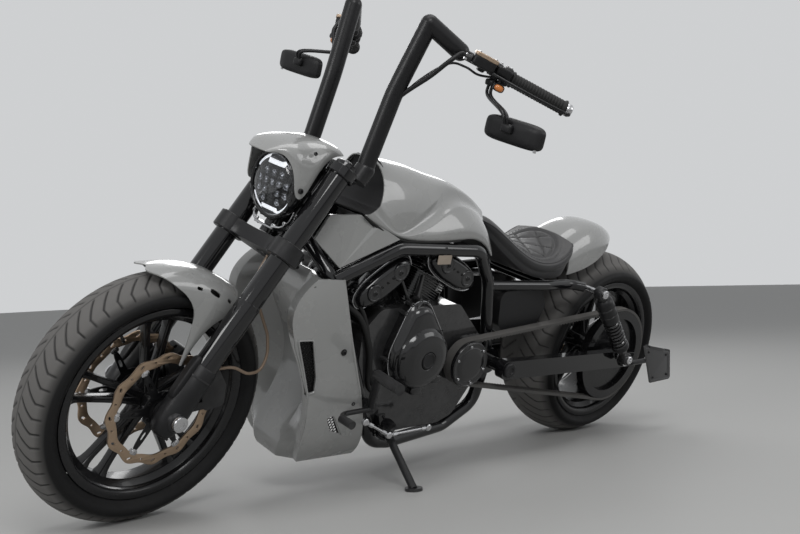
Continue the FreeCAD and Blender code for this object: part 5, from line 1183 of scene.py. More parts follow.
def makeHood():
    columns = np.array(hood["columns"])
    fall = np.array(hood["fall"])[:, None]
    spread = np.array(hood["spread"])[:, None]
    crown, edge, half = columns[:, :2], columns[:, 2:4], columns[:, 4]
    x = crown[:, 0] * (1 - fall) + edge[:, 0] * fall
    z = crown[:, 1] * (1 - fall) + edge[:, 1] * fall
    side = np.stack([x, half * spread, z], -1)
    whole = np.concatenate([(side * (1, -1, 1))[:0:-1], side])
    shell = skin(whole, 3, hood["wall"])
    fixings = []
    for side in (-1, 1):
        fixings.append(screw((1421, 96.5 * side, 868), (0, side, 0), 7.0, 5.0, 16))
        fixings.append(screw((1384, 84.0 * side, 958), (0.2, side, 0.6), 5.0, 4.0))
    piece("lampHood", [shell], "steering", "body_grey", ["lamp_cowl"], 40)
    piece("lampHoodScrews", fixings, "steering", "satin_black")


# Hand controls, drawn on the left bar end along the handle and mirrored

controls = {
    "barBend": (1079.0, 200.0, 1262.0),
    "gripEnd": (866.0, 402.0, 1180.0),
    "gripLength": 160.0,
    "gripRadius": 18.0,
    "ribs": 17,
    "housing": 52.0,
    "master": 62.0,
    # along the handle, ahead of the grip's face, up
    "lever": [(-30, 28, -9), (24, 42, -10), (90, 34, -10), (142, 24, -9), (164, 26, -8)],
    # places past the bend of the bar
    "hose": [(52, 12, -30), (68, -20, -72), (104, -64, -130), (132, -86, -180)],
    "wire": [(30, -4, -34), (72, -50, -90), (126, -84, -172)],
}

handleAlong = unit(np.array(controls["gripEnd"]) - np.array(controls["barBend"]))
handleAhead = unit(np.cross(handleAlong, (0, 0, 1)))
handleUp = np.cross(handleAhead, handleAlong)
gripStart = np.array(controls["gripEnd"]) - handleAlong * controls["gripLength"]


# A point on the handle: along it from the grip's start, ahead and up
def onHandle(along, ahead=0.0, up=0.0):
    return gripStart + handleAlong * along + handleAhead * ahead + handleUp * up


# A point in from the grip by a share of the switch housing's length
def onSwitch(share, ahead=0.0, up=0.0):
    return onHandle(-controls["housing"] * share, ahead, up)


# A point past the switch housing by a share of the master cylinder's length, ahead of the grip's face
def onMaster(share, ahead, up):
    along = -controls["housing"] - controls["master"] * share
    return onHandle(along, controls["gripRadius"] + ahead, up)


def handleShell(place, halves, power, steps=(18, 28)):
    return housing(place, halves, handleAlong, handleAhead, power, steps)


def bothSides(patches):
    return patches + [mirrorPatch(patch) for patch in patches]


def makeGrips():
    r, long = controls["gripRadius"], controls["gripLength"]
    rows = [(1, 13.0), (1, r + 3), (5, r + 3.4), (8, r)]
    for rib in range(controls["ribs"]):
        at = 10 + rib * (long - 22) / controls["ribs"]
        rows += [(at, r - 0.9), (at + 1.6, r + 0.3), (at + 5.6, r + 0.3), (at + 7.0, r - 0.9)]
    rows += [(long - 9, r), (long - 6, r + 3.2), (long - 2, r + 3.2), (long - 1, r - 2), (long - 1, 13.0)]
    grip = lathe(rows, onHandle(0), handleAlong, 32)
    piece("handGrips", bothSides([grip]), "steering", "grip_rubber", ["control_left", "control_right"], 50)
    rows = [(0, 0), (0, 15), (3, 16.5), (12, 16.5), (17, 13), (17, 5), (14, 4), (14, 0)]
    end = lathe([(long + out, radius) for out, radius in rows], onHandle(0), handleAlong, 32)
    piece("handleEnds", bothSides([end]), "steering", "bright_steel")


def makeControls():
    r, wide, master = controls["gripRadius"], controls["housing"], controls["master"]
    shells = [handleShell(onSwitch(0.28), (wide * 0.27, 25, 24), 0.5),
              handleShell(onSwitch(0.78), (wide * 0.21, 23, 22), 0.5),
              handleShell(onSwitch(0.5, 16, 6), (wide * 0.42, 13, 12), 0.4),
              handleShell(onSwitch(0.34, -20, 4), (9, 7, 8), 0.4, (10, 16)),
              handleShell(onSwitch(0.74, -19, -2), (7, 6, 9), 0.4, (10, 16))]
    piece("switchHousings", bothSides(shells), "steering", "satin_plastic")
    bodies = [handleShell(onMaster(0.5, 13, 3), (master / 2, 19, 14), 0.35),
              handleShell(onMaster(0.45, 4 - r, 0), (11, 22, 20), 0.5),
              pipe([onMaster(1.02, 13, 0), onMaster(1.28, 11, -3)], [9.0, 7.0]),
              lathe([(-7, 0), (-7, 7), (7, 7), (7, 0)], onMaster(0.12, 16, -8), handleUp, 20)]
    piece("masterCylinders", bothSides(bodies), "steering", "satin_black", look="castBlack")
    cap = handleShell(onMaster(0.5, 13, 19), (master / 2 + 1, 20, 5.5), 0.3)
    piece("masterCaps", bothSides([cap]), "steering", "bronze_trim")
    lever = [onHandle(along, r + ahead, up) for along, ahead, up in controls["lever"]]
    lever = smoothThrough([onMaster(0.15, 14, -8)] + lever, 6)
    share = np.linspace(0, 1, len(lever))
    widths = np.stack([9.5 - 4.5 * share + 2.0 * (share > 0.93), 3.6 + 1.6 * (share > 0.95)], 1)
    lever = pipe(lever, widths, ovalLine(2, 2, 0.7, 16), start=handleAhead, dome=True)
    piece("handLevers", bothSides([lever]), "steering", "satin_black")
    corners = [onMaster(share, ahead, 24) for share in (0.86, 0.14) for ahead in (1, 25)]
    screws = [screw(corner, handleUp, 3.6, 2.4) for corner in corners]
    screws += [screw(onSwitch(share, 6, 23), handleUp, 3.4, 3.0) for share in (0.2, 0.42, 0.74)]
    banjo = [(0, 0), (0, 8), (5, 8), (5, 4.5), (17, 4.5), (17, 0)]
    screws.append(lathe(banjo, onMaster(1.26, 11, -10), handleUp, 20))
    piece("controlScrews", bothSides(screws), "steering", "bright_steel")
    bend = np.array(controls["barBend"])
    hose = [onMaster(1.28, 11, -3), onMaster(1.5, 14, -3)] + [bend + place for place in controls["hose"]]
    wire = [onSwitch(0.9, 14, -18), onSwitch(1.6, 26, -28), onSwitch(2.3, 22, -26)]
    wire += [bend + place for place in controls["wire"]]
    hoses = [pipe(smoothThrough(hose, 8), 6.0), pipe(smoothThrough(wire, 8), 3.0)]
    piece("controlHoses", bothSides(hoses), "steering", "satin_plastic")
    stalk = smoothThrough([onSwitch(0.5, 18, -14), onSwitch(0.5, 30, -26), onSwitch(0.46, 40, -31)], 5)
    cup = handleShell(onSwitch(0.46, 44, -32), (15, 11, 10), 0.7)
    piece("frontIndicatorStalks", bothSides([pipe(stalk, 4.5), cup]), "steering", "satin_black")
    amber = handleShell(onSwitch(0.46, 50, -32), (12, 9, 8), 0.8)
    piece("frontIndicators", bothSides([amber]), "steering", "indicator_orange")


# Mirrors: a rounded back with its glass facing the rider, hung under the handle on two thin arms

mirror = {
    "middle": (1062.0, 405.0, 1110.0),
    "long": 176.0,
    "tall": 62.0,
    "deep": 22.0,
    # share of the depth ahead of the middle, shares of the length and of the height
    "back": [(-0.5, 0.94, 0.94), (-0.5, 1.0, 1.0), (-0.2, 1.0, 1.0), (0.15, 0.97, 0.97), (0.36, 0.86, 0.86),
             (0.47, 0.62, 0.62), (0.5, 0.0, 0.0)],
    "bezel": [(-0.5, 0.99, 0.985), (-0.56, 0.98, 0.96), (-0.56, 0.95, 0.88), (-0.48, 0.94, 0.86)],
}


def makeMirrors():
    middle = np.array(mirror["middle"])
    long, tall, deep = mirror["long"], mirror["tall"], mirror["deep"]
    outline = np.insert(ovalLine(long, tall, 0.42, 48), 0, deep, axis=1)
    back = gridPatch(np.array(mirror["back"])[:, None] * outline + middle)
    bezel = gridPatch(np.array(mirror["bezel"])[:, None] * outline + middle)
    glassLine = ovalLine(long - 10, tall - 10, 0.42, 48)
    glass = plate([glassLine], 2.4, 0.5, middle + (-deep * 0.5 + 0.2, 0, 0), (0, 1, 0))
    root = onSwitch(0.75, 2, -27)
    arms = []
    for shift in (-6.0, 6.0):
        path = [root + (0, shift, 0), root + (8, shift + 8, -34), middle + (deep * 0.9, shift - 26, 40),
                middle + (deep * 0.75, shift * 0.6 - 12, 10)]
        arms.append(pipe(smoothThrough(path, 7), 4.2))
    arms.append(housing(root + (0, 0, -2), (13, 15, 9), power=0.5, steps=(12, 18)))
    ball = housing(middle + (deep * 0.62, -10, 6), (11, 17, 12), power=0.6, steps=(14, 20))
    piece("mirrorBacks", bothSides([back, ball, bezel]), "steering", "satin_black",
          ["mirror_left", "mirror_right"], 40, look="mouldedBlack")
    piece("mirrorArms", bothSides(arms), "steering", "satin_black")
    foot = middle + (0, long / 2 - 14, -tall / 2 + 8)
    pin = lathe([(0, 0), (0, 4), (9, 4), (9, 0)], foot, (0, 0, -1), 16)
    piece("mirrorPins", bothSides([pin]), "steering", "bright_steel")
    piece("mirrorGlasses", bothSides([glass]), "steering", "mirror_face")


makeHeadlamp()
makeHood()
makeGrips()
makeControls()
makeMirrors()
print("front end ready:", pieceCount)


# Tank cover: lines from front to rear, each one row of the left half; two of them are the creases of its side

tank = {
    "rows": [
        [(1150, 0, 945), (1105, 0, 944), (1062, 0, 939), (1005, 0, 934), (927, 0, 912), (845, 0, 898),
         (785, 0, 878), (725, 0, 850), (670, 0, 815)],
        [(1137, 60, 942), (1098, 64, 935), (1056, 66, 926), (1000, 64, 914), (925, 58, 896), (850, 48, 884),
         (785, 38, 866), (724, 32, 840), (671, 27, 807)],
        [(1131, 98, 884), (1104, 111, 866), (1062, 114, 856), (1000, 98, 868), (930, 79, 873),
         (860, 57, 878), (787, 44, 862), (722, 37, 834), (672, 32, 798)],
        [(1157, 119, 832), (1120, 131, 793), (1085, 135, 756), (986, 111, 818), (932, 91, 846),
         (867, 61, 872), (790, 48, 856), (718, 42, 826), (674, 38, 790)],
        [(1171, 121, 821), (1128, 130, 784), (1083, 133.5, 753), (992, 112, 790), (935, 97, 815),
         (864, 70, 845), (792, 58, 838), (715, 51, 810), (677, 48, 775)],
        [(1182, 123, 816), (1134, 132.5, 780), (1081, 135.5, 751.5), (1014, 141, 763), (932, 122, 795),
         (857, 95, 836), (792, 84, 826), (713, 70, 798), (680, 66, 758)],
        [(1192, 124, 811), (1139, 132, 777), (1078, 135.5, 749), (1011, 143, 752), (928, 142, 760),
         (855, 138, 780), (790, 131, 784), (713, 115, 764), (684, 98, 726)],
        [(1205, 121, 807), (1146, 127, 774), (1074, 132, 746), (1008, 138, 742), (926, 139, 741),
         (853, 138, 744), (797, 135, 750), (733, 130, 733), (691, 124, 690)],
    ],
    "creases": {3: 0.75, 5: 0.75},
    "lip": (0.0, -9.0, -3.0),
    "wall": 3.0,
}


# Ruled surface across the machine from a line on its left to the same line on its right
def bridge(line, inset):
    share = np.linspace(1, -1, 7)[:, None]
    wide = np.array([0, 1, 0]) * np.maximum(line[:, 1:2] - inset, 0.5)
    return gridPatch(np.stack([line * (1, 0, 1) + wide * s for s in share]), loopCols=False)


def makeTank():
    rows = np.array(tank["rows"], float)
    rows = np.concatenate([rows, rows[-1:] + np.array(tank["lip"])])
    whole = np.concatenate([(rows * (1, -1, 1))[:0:-1], rows])
    last = len(rows) - 1
    creases = {last + row * side: weight for side in (1, -1) for row, weight in tank["creases"].items()}
    piece("tankShell", [skin(whole, 4, tank["wall"], creases)], "chassis", "body_grey", ["tank_cover"], 60)
    front = smoothThrough(rows[:-1, 0] + (-9, 0, -5), 4)
    back = smoothThrough(rows[:-1, -1] + (8, 0, -3), 4)
    low = smoothThrough(rows[-2] + (0, -9, 4), 4)
    lining = [thickened(bridge(line, 7.0), 2.0, 0.0) for line in (front, back, low)]
    piece("tankLining", lining, "chassis", "satin_plastic")
    seal = pipe(smoothThrough(rows[-2, :6] + (0, -2.5, -2.0), 6), 3.2)
    piece("tankSeal", bothSides([seal]), "chassis", "satin_plastic", look="gripRubber")


# Seat: stations from the horn to the back. A crowned top falls to a rolled edge, with a quilted oval insert

saddle = {
    # x, half width, crown, edge height, underside
    "stations": [
        (663.0, 22.0, 783.0, 779.0, 764.0),
        (655.0, 36.0, 785.0, 776.0, 748.0),
        (630.0, 56.0, 782.0, 764.0, 722.0),
        (595.0, 80.0, 762.0, 738.0, 690.0),
        (550.0, 105.0, 730.0, 704.0, 655.0),
        (500.0, 124.0, 704.0, 678.0, 626.0),
        (450.0, 135.0, 693.0, 668.0, 613.0),
        (400.0, 140.0, 695.0, 672.0, 610.5),
        (360.0, 140.0, 708.0, 688.0, 612.0),
        (330.0, 134.0, 726.0, 708.0, 622.0),
        (312.0, 122.0, 736.0, 722.0, 650.0),
        (306.0, 104.0, 734.0, 724.0, 690.0),
    ],
    "around": 168,
    "steps": 12,
    "insertMiddle": 462.0,
    "insertHalf": (142.0, 100.0),
    "quiltPitch": 58.0,
    "quiltSlant": 34.0,
    "seamGap": 5.0,
    # share of the half width that the top takes, and the power of its fall from crown to edge
    "topShare": 0.93,
    "crownPower": 2.4,
    # how much the insert narrows to the front, and its mean half size
    "narrowing": 0.28,
    "insertMean": 120,
    # height of a pad and its reach from a seam, depth of a seam and its width
    "pad": (3.6, 16),
    "seam": (3.2, 3.4),
    # rings round the insert: place as a share of it, width, and depth or height
    "border": (1.0, 5.0, 4.0),
    "rib": (1.10, 7.0, 1.6),
    # stitches: pitch, share of the pitch that one takes to each side, radii, and the two rings of them
    "stitch": 8.5,
    "stitchShare": 0.30,
    "thread": [0.5, 0.85, 0.5],
    "stitchRings": (1.035, 1.165),
    "seamNumbers": (2, 13),
    "seamReach": 420,
    # share of the half width, drop under the edge, radius
    "welt": (0.955, 3.0, 2.6),
}


# Distance in millimetres to the nearest quilting seam of one family of slanted lines
def seamDistance(x, y, slant):
    turn = np.radians(slant)
    place = (x * np.cos(turn) + y * np.sin(turn)) / saddle["quiltPitch"]
    return np.abs(place - np.round(place)) * saddle["quiltPitch"]


# The insert is the inside of an oval that narrows to the front
def insertShare(x, y):
    long, wide = saddle["insertHalf"]
    forward = (x - saddle["insertMiddle"]) / long
    narrow = 1 - saddle["narrowing"] * np.clip(forward, -1, 1)
    return np.sqrt(forward ** 2 + (y / (wide * narrow)) ** 2 + 1e-9)


# A ring round the insert: a bell curve across it
def insertRing(share, place, width, height):
    return height * np.exp(-((share - place) * saddle["insertMean"] / width) ** 2)


def quiltHeight(x, y):
    first = seamDistance(x, y, saddle["quiltSlant"])
    second = seamDistance(x, y, -saddle["quiltSlant"])
    share = insertShare(x, y)
    inside = np.clip((1.0 - share) * 14, 0, 1)
    (padHigh, padReach), (seamDeep, seamWide) = saddle["pad"], saddle["seam"]
    seam = np.exp(-(np.minimum(first, second) / seamWide) ** 2)
    crown = np.clip(np.minimum(first, second) / padReach, 0, 1) ** 0.6
    quilt = inside * (padHigh * crown - seamDeep * seam)
    return quilt - insertRing(share, *saddle["border"]) + insertRing(share, *saddle["rib"])


# Top: crown less a share of its drop that grows with the place across. Side: a rolled quarter going under
def saddleGrid():
    rows = smoothThrough(np.array(saddle["stations"]), saddle["steps"])
    x, half, crown, edge, low = [rows[:, k][:, None] for k in range(5)]
    count = saddle["around"]
    top = np.linspace(-1, 1, count // 2)[None, :]
    share = np.sign(top) * np.abs(top) ** 0.92
    y = half * saddle["topShare"] * share
    z = crown - (crown - edge) * np.abs(share) ** saddle["crownPower"]
    roll = np.linspace(0, 1, count // 8)[None, 1:]
    bulge = saddle["topShare"] + 0.07 * np.sin(np.pi * np.clip(roll * 1.5, 0, 1)) - 0.10 * roll ** 3
    sideY = half * bulge
    sideZ = edge - (edge - low) * (roll ** 1.25)
    quilt = quiltHeight(x + 0 * y, y)
    grid = np.stack([x + 0 * y, y, z + quilt], -1)
    right = np.stack([x + 0 * sideY, sideY, sideZ], -1)
    left = right * (1, -1, 1)
    return np.concatenate([grid, right, left[:, ::-1]], 1), rows


def makeSaddle():
    grid, rows = saddleGrid()
    shell = gridPatch(grid, caps=True)
    seat = piece("saddlePad", [shell], "chassis", "seat_leather", ["seat"], 55)
    stations = np.array(saddle["stations"])[::-1]

    def onTop(x, y):
        half = np.interp(x, stations[:, 0], stations[:, 1])
        crown = np.interp(x, stations[:, 0], stations[:, 2])
        edge = np.interp(x, stations[:, 0], stations[:, 3])
        share = np.clip(np.abs(y) / (half * saddle["topShare"]), 0, 1)
        fall = (crown - edge) * share ** saddle["crownPower"]
        return np.stack([x, y, crown - fall + quiltHeight(x, y)], -1)
    lines = []
    gap, reach = saddle["seamGap"], saddle["seamReach"]
    for slant in (saddle["quiltSlant"], -saddle["quiltSlant"]):
        turn = np.radians(slant)
        normal = np.array([np.cos(turn), np.sin(turn)])
        along = np.array([-np.sin(turn), np.cos(turn)])
        for number in range(*saddle["seamNumbers"]):
            for shift in (-gap / 2, gap / 2):
                foot = normal * (number * saddle["quiltPitch"] + shift)
                spots = foot + along * np.arange(-reach, reach, saddle["stitch"])[:, None]
                keep = insertShare(spots[:, 0], spots[:, 1]) < 0.95
                lines.append((spots[keep], np.tile(along, (keep.sum(), 1))))
    turn = np.linspace(0, 2 * np.pi, 96, endpoint=False)
    long, wide = saddle["insertHalf"]
    for grow in saddle["stitchRings"]:
        ringX = saddle["insertMiddle"] + long * grow * np.cos(turn)
        ringY = wide * grow * np.sin(turn) * (1 - saddle["narrowing"] * np.cos(turn))
        spots = np.stack([ringX, ringY], 1)
        lines.append((spots, unit(np.roll(spots, -1, 0) - np.roll(spots, 1, 0))))
    stitches = []
    for spots, ways in lines:
        middle = onTop(spots[:, 0], spots[:, 1])
        half = ways * saddle["stitch"] * saddle["stitchShare"]
        start = onTop(spots[:, 0] - half[:, 0], spots[:, 1] - half[:, 1])
        end = onTop(spots[:, 0] + half[:, 0], spots[:, 1] + half[:, 1])
        for a, m, b in zip(start, middle, end):
            stitches.append(pipe(np.array([a, m + (0, 0, 0.5), b]), saddle["thread"], count=6))
    piece("saddleStitches", stitches, "chassis", "seat_leather", look="stitch")
    welt = []
    share, drop, radius = saddle["welt"]
    for side in (-1, 1):
        line = np.stack([rows[:, 0], rows[:, 1] * share * side, rows[:, 3] - drop], 1)
        welt.append(pipe(line[4:-4], radius, count=8))
    piece("saddleWelt", welt, "chassis", "seat_leather")


makeTank()
makeSaddle()
print("tank and seat ready:", pieceCount)


# Engine covers: a drop-shaped case cover with a dome at its foot, a ringed cap over the front pulley and, on
# both sides, oval head covers

engine = {
    "crank": (945.0, 412.0),
    "tilt": 5.0,
    "vee": 30.0,
    "headStart": 218.0,
    "headHigh": 80.0,
    "headHalf": 105.0,
    "headFace": 108.0,
    "caseFace": 113.3,
    "pulley": (742.0, 372.0),
    "pulleyFace": 156.5,
    # radii of the case cover's two circles, the upper one's place past the crank
    "caseRadius": 104.0,
    "caseTip": 52.0,
    "caseUpper": (16.0, 106.0),
    "pulleyBoltCircle": 59.0,
}


# One cylinder's axis and the way across it: sign is 1 for the front cylinder and -1 for the rear one
def cylinderWays(sign):
    turn = np.radians(engine["tilt"] + engine["vee"] * sign)
    return np.array([np.sin(turn), 0, np.cos(turn)]), np.array([np.cos(turn), 0, -np.sin(turn)])


# A place over the crank, along one cylinder's axis, across it and out to a side
def onCylinder(sign, along, across, left):
    axis, side = cylinderWays(sign)
    x, z = engine["crank"]
    return np.array([x, 0, z]) + axis * along + side * across + leftWay * left


def makeHeadCovers():
    level = engine["headStart"] + engine["headHigh"] / 2
    face, half, high = engine["headFace"], engine["headHalf"], engine["headHigh"]
    outline = ovalLine(half * 2, high, 0.8, 72)
    # out from the middle, share of the outline
    rows = [(6, 0.0), (face - 30, 0.90), (face - 26, 0.97), (face - 12, 0.985), (face - 9, 1.03),
            (face - 3, 1.03), (face, 1.0), (face + 1, 0.95), (face + 9, 0.93), (face + 17, 0.86),
            (face + 22, 0.74), (face + 24, 0.58), (face + 25, 0.3), (face + 25, 0.0)]
    boss = [(-2, 25), (12, 25), (15, 23), (16, 20), (14, 18.5), (14, 8), (16.5, 7), (16.5, 0)]
    boss = softened(boss, 1.0, 3)
    sleeve = [(-22, 0), (-22, 6), (-2, 6), (-1, 5), (-1, 3), (-4, 2.6), (-4, 0)]
    for sign, word in ((1, "front"), (-1, "rear")):
        axis, across = cylinderWays(sign)
        middle = onCylinder(sign, level, 0, 0)
        line = outline[:, :1] * across + outline[:, 1:] * axis
        parts = [housing(middle, (half * 0.98, face - 10, high * 0.47), across, leftWay, 0.3)]
        bolts, brightRims = [], []
        for side in (-1, 1):
            way = leftWay * side
            parts.append(gridPatch(np.stack([middle + line * share + way * out for out, share in rows])))
            brightRims.append(pipe(middle + way * (face - 1) + line * 1.02, 1.5, count=8, loop=True))
            for u in (-0.46, 0.46):
                spot = onCylinder(sign, level + 4, half * u, (face + 12) * side)
                parts.append(lathe(boss, spot, way, 40))
                bolts.append(screw(spot + way * 16.5, way, 5.2, 3.0, 6))
            for n in range(3):
                spot = onCylinder(sign, level + 4, half * 0.2 * (n - 1), (face + 23.5) * side)
                bolts.append(screw(spot, way, 4.0, 4.0, 8))
            for ring in 2 * np.pi * np.arange(10) / 10 + 0.2:
                off = across * np.cos(ring) * half * 1.01 + axis * np.sin(ring) * high * 0.505
                bolts.append(lathe(sleeve, middle + way * face + off, way, 10))
            for n in range(5):
                spot = onCylinder(sign, level - high * 0.30 + 9 * n - 12, half * 0.96, (face - 44) * side)
                parts.append(housing(spot, (7, 30, 1.6), across, leftWay, 0.4, (6, 12)))
        piece(word + "HeadCover", parts, "chassis", "engine_black", ["cam_covers"] if sign > 0 else (), 38)
        piece(word + "HeadBolts", bolts, "chassis", "bright_steel", look="satinBlack")
        piece(word + "HeadRims", brightRims, "chassis", "bright_steel")


# Outline of the case cover: two circles and the tangents between them, from the angle between their middles
def teardrop(grow=0.0, steps=40):
    radius, small, offset = engine["caseRadius"], engine["caseTip"], np.array(engine["caseUpper"])
    slope = np.arctan2(offset[1], offset[0])
    spread = np.arccos((radius - small) / np.linalg.norm(offset))
    big = np.linspace(slope + spread, slope + 2 * np.pi - spread, steps)
    tip = np.linspace(slope - spread, slope + spread, steps // 2)
    ringBig = np.stack([np.cos(big), np.sin(big)], 1) * (radius + grow)
    ringTip = offset + np.stack([np.cos(tip), np.sin(tip)], 1) * (small + grow)
    return np.concatenate([ringBig, ringTip])


def makeCaseCovers():
    x, z = engine["crank"]
    spot = np.array([x, engine["caseFace"], z])
    # out from the case, growth of the outline
    rows = [(0, 0), (20, 0), (22, 1.5), (25, 1.5), (27, 0), (30, -4), (40, -7), (50, -13), (56, -22),
            (58, -34)]
    grid = [np.insert(teardrop(grow), 1, out, axis=1) for out, grow in rows]
    grid.append(grid[-1] * (0.5, 1, 0.5) + (8.0, 0, 20.0))
    dome = [(50, 92), (58, 89), (67, 82), (74, 71), (78, 56), (79.5, 38), (79.5, 27), (76.5, 25), (76.5, 0)]
    parts = [gridPatch(np.stack(grid) + spot, caps=True), lathe(softened(dome, 2.5, 4), spot, leftWay, 96)]
    parts += [housing(spot + place, (22, 26, 14), power=0.5)
              for place in ((-4, 30, -100), (70, 26, -78), (-78, 26, -74))]
    piece("alternatorDome", parts, "chassis", "engine_black", ["alternator_cover"], 38)
    bolt = [(0, 0), (0, 6.5), (27, 6.5), (28, 5.5), (28, 3.2), (25, 3), (25, 0)]
    bolts = [lathe(bolt, spot + (bx, 0, bz), leftWay, 12) for bx, bz in teardrop(3.0)[::5]]
    piece("caseBolts", bolts, "chassis", "bright_steel", look="engineBlack")
    edge = np.insert(teardrop(1.2), 1, 26.0, axis=1)
    piece("caseRim", [pipe(edge + spot, 1.4, count=8, loop=True)], "chassis", "bright_steel")
    rows = softened([(77, 24), (79.5, 24), (81, 22), (81, 19), (79.5, 18), (79.5, 0)], 0.5, 3)
    piece("caseRoundel", [lathe(rows, spot, leftWay, 48)], "chassis", "bright_steel", look="satinBlack")
    x, z = engine["pulley"]
    spot = np.array([x, engine["pulleyFace"], z])
    rows = [(0, 0), (0, 70), (3, 70.5), (12, 70.5), (15, 68), (15.5, 66), (13, 64), (13, 54), (15, 51),
            (17.5, 40), (18.5, 0)]
    cap = lathe(softened(rows, 1.4, 3), spot, leftWay, 80)
    piece("pulleyCap", [cap], "chassis", "engine_black", ["pulley_cover"], 38)
    out = engine["pulleyBoltCircle"]
    bolts = [screw(spot + (np.cos(turn) * out, 12.6, np.sin(turn) * out), leftWay, 4.2, 4.6, 10)
             for turn in np.linspace(0, 2 * np.pi, 6, endpoint=False) + 0.3]
    piece("pulleyBolts", bolts, "chassis", "bright_steel")


makeHeadCovers()
makeCaseCovers()
print("engine ready:", pieceCount)


# Shroud details: honeycomb behind each window, a raised lip round it, screws, and rolled front and back edges

shroud = {
    "back": 1205.0,
    "depth": 260.0,
    "top": 650.0,
    "height": 530.0,
    "half": 164.0,
    # share of the drop, front and back as shares of the depth, width as a share of the half width
    "stations": [(0.0, 0.53, 0.26, 1.0), (0.3, 0.70, 0.04, 1.0), (0.62, 0.42, -0.22, 1.0),
                 (0.88, 0.38, -0.38, 0.9), (1.0, 0.28, -0.42, 0.66)],
    "tall": [(1377, 491), (1332, 491), (1301, 385), (1299, 345), (1319, 340), (1340, 396)],
    "low": [(1244, 263), (1223, 271), (1182, 207), (1223, 221)],
    "cell": 9.4,
    "grow": 1.14,
    "sunk": 8.0,
    "bolts": [(1352, 628), (1330, 560), (1232, 452), (1168, 300), (1300, 610)],
}


# The shroud's front edge, back edge and half width at a height, each read between the stations
def shroudEdges(z):
    drop = (shroud["top"] - np.asarray(z, float)) / shroud["height"]
    down, ahead, behind, wide = np.array(shroud["stations"]).T
    front = shroud["back"] + shroud["depth"] * np.interp(drop, down, ahead)
    back = shroud["back"] + shroud["depth"] * np.interp(drop, down, behind)
    return front, back, shroud["half"] * np.interp(drop, down, wide)


# Left face of the shroud at a place: straight from its back edge to its front edge
def shroudSide(x, z):
    front, back, half = shroudEdges(z)
    return half * (1 - 0.1 * np.clip((x - back) / (front - back), 0, 1))


# Whether points lie inside an outline: a ray from each crosses its edges an odd number of times
def insideOutline(points, outline):
    x, z = points[:, :1], points[:, 1:]
    x1, z1 = outline[:, 0], outline[:, 1]
    x2, z2 = np.roll(x1, -1), np.roll(z1, -1)
    crosses = ((z1 > z) != (z2 > z)) & (x < (x2 - x1) * (z - z1) / (z2 - z1 + 1e-9) + x1)
    return crosses.sum(1) % 2 == 1


# Honeycomb plate: an outline grown about its middle, with six-sided holes on a staggered grid inside it. The
# plate is then bent to the shroud's face.
def honeycomb(outline):
    cell, grow = shroud["cell"], shroud["grow"]
    middle = outline.mean(0)
    frameLine = softened((outline - middle) * grow + middle, 5.0, 3, True)
    low, high = frameLine.min(0), frameLine.max(0)
    columns = np.arange(low[0], high[0], cell)
    rows = np.arange(low[1], high[1], cell * 0.866)
    spots = np.array([(x + (k % 2) * cell / 2, z) for k, z in enumerate(rows) for x in columns])
    spots = spots[insideOutline(spots, (outline - middle) * (grow - 0.07) + middle)]
    turn = np.radians(np.arange(6) * 60 + 30)
    ring = np.stack([np.cos(turn), np.sin(turn)], 1) * cell * 0.46
    points, faces = plate([frameLine] + [spot + ring for spot in spots], 2.4, 0.3, (0, -shroud["sunk"], 0))
    points[:, 1] += shroudSide(points[:, 0], points[:, 2])
    return points, faces


def makeShroudDetails():
    windows = [np.array(shroud[name], float) for name in ("tall", "low")]
    piece("shroudHoneycomb", bothSides([honeycomb(line) for line in windows]), "chassis", "mesh_black")
    lips = []
    for window in windows:
        x, z = softened(window, 7.0, 5, True).T
        lips.append(pipe(np.stack([x, shroudSide(x, z) + 0.4, z], 1), 2.6, count=10, loop=True))
    z = shroud["top"] - shroud["height"] * np.linspace(0, 1, 30)
    front, back, half = shroudEdges(z)
    for x, left, radius in ((back + 1, half - 1.5, 3.0), (front - 2, half * 0.9 - 1.6, 3.2)):
        lips.append(pipe(smoothThrough(np.stack([x, left, z], 1)[::3], 4), radius, count=8))
    piece("shroudLips", bothSides(lips), "chassis", "body_grey")
    screws = []
    for x, up in shroud["bolts"]:
        place, way = np.array([x, shroudSide(x, up), up]), (0.08, 1, 0)
        screws.append(screw(place, way, 5.6, 4.0))
        screws.append(lathe([(-0.5, 0), (-0.5, 9), (0.8, 9), (1.2, 8), (1.2, 0)], place, way, 20))
    piece("shroudScrews", bothSides(screws), "chassis", "satin_black")


# Rear shocks: a turned cover, a coil spring wound as a helix round a slim rod, and an eye at each end

shock = {
    "top": (268.0, 232.0, 592.0),
    "foot": (42.0, 232.0, 350.0),
    "radius": 29.0,
    "wire": 4.6,
    "turns": 8,
}


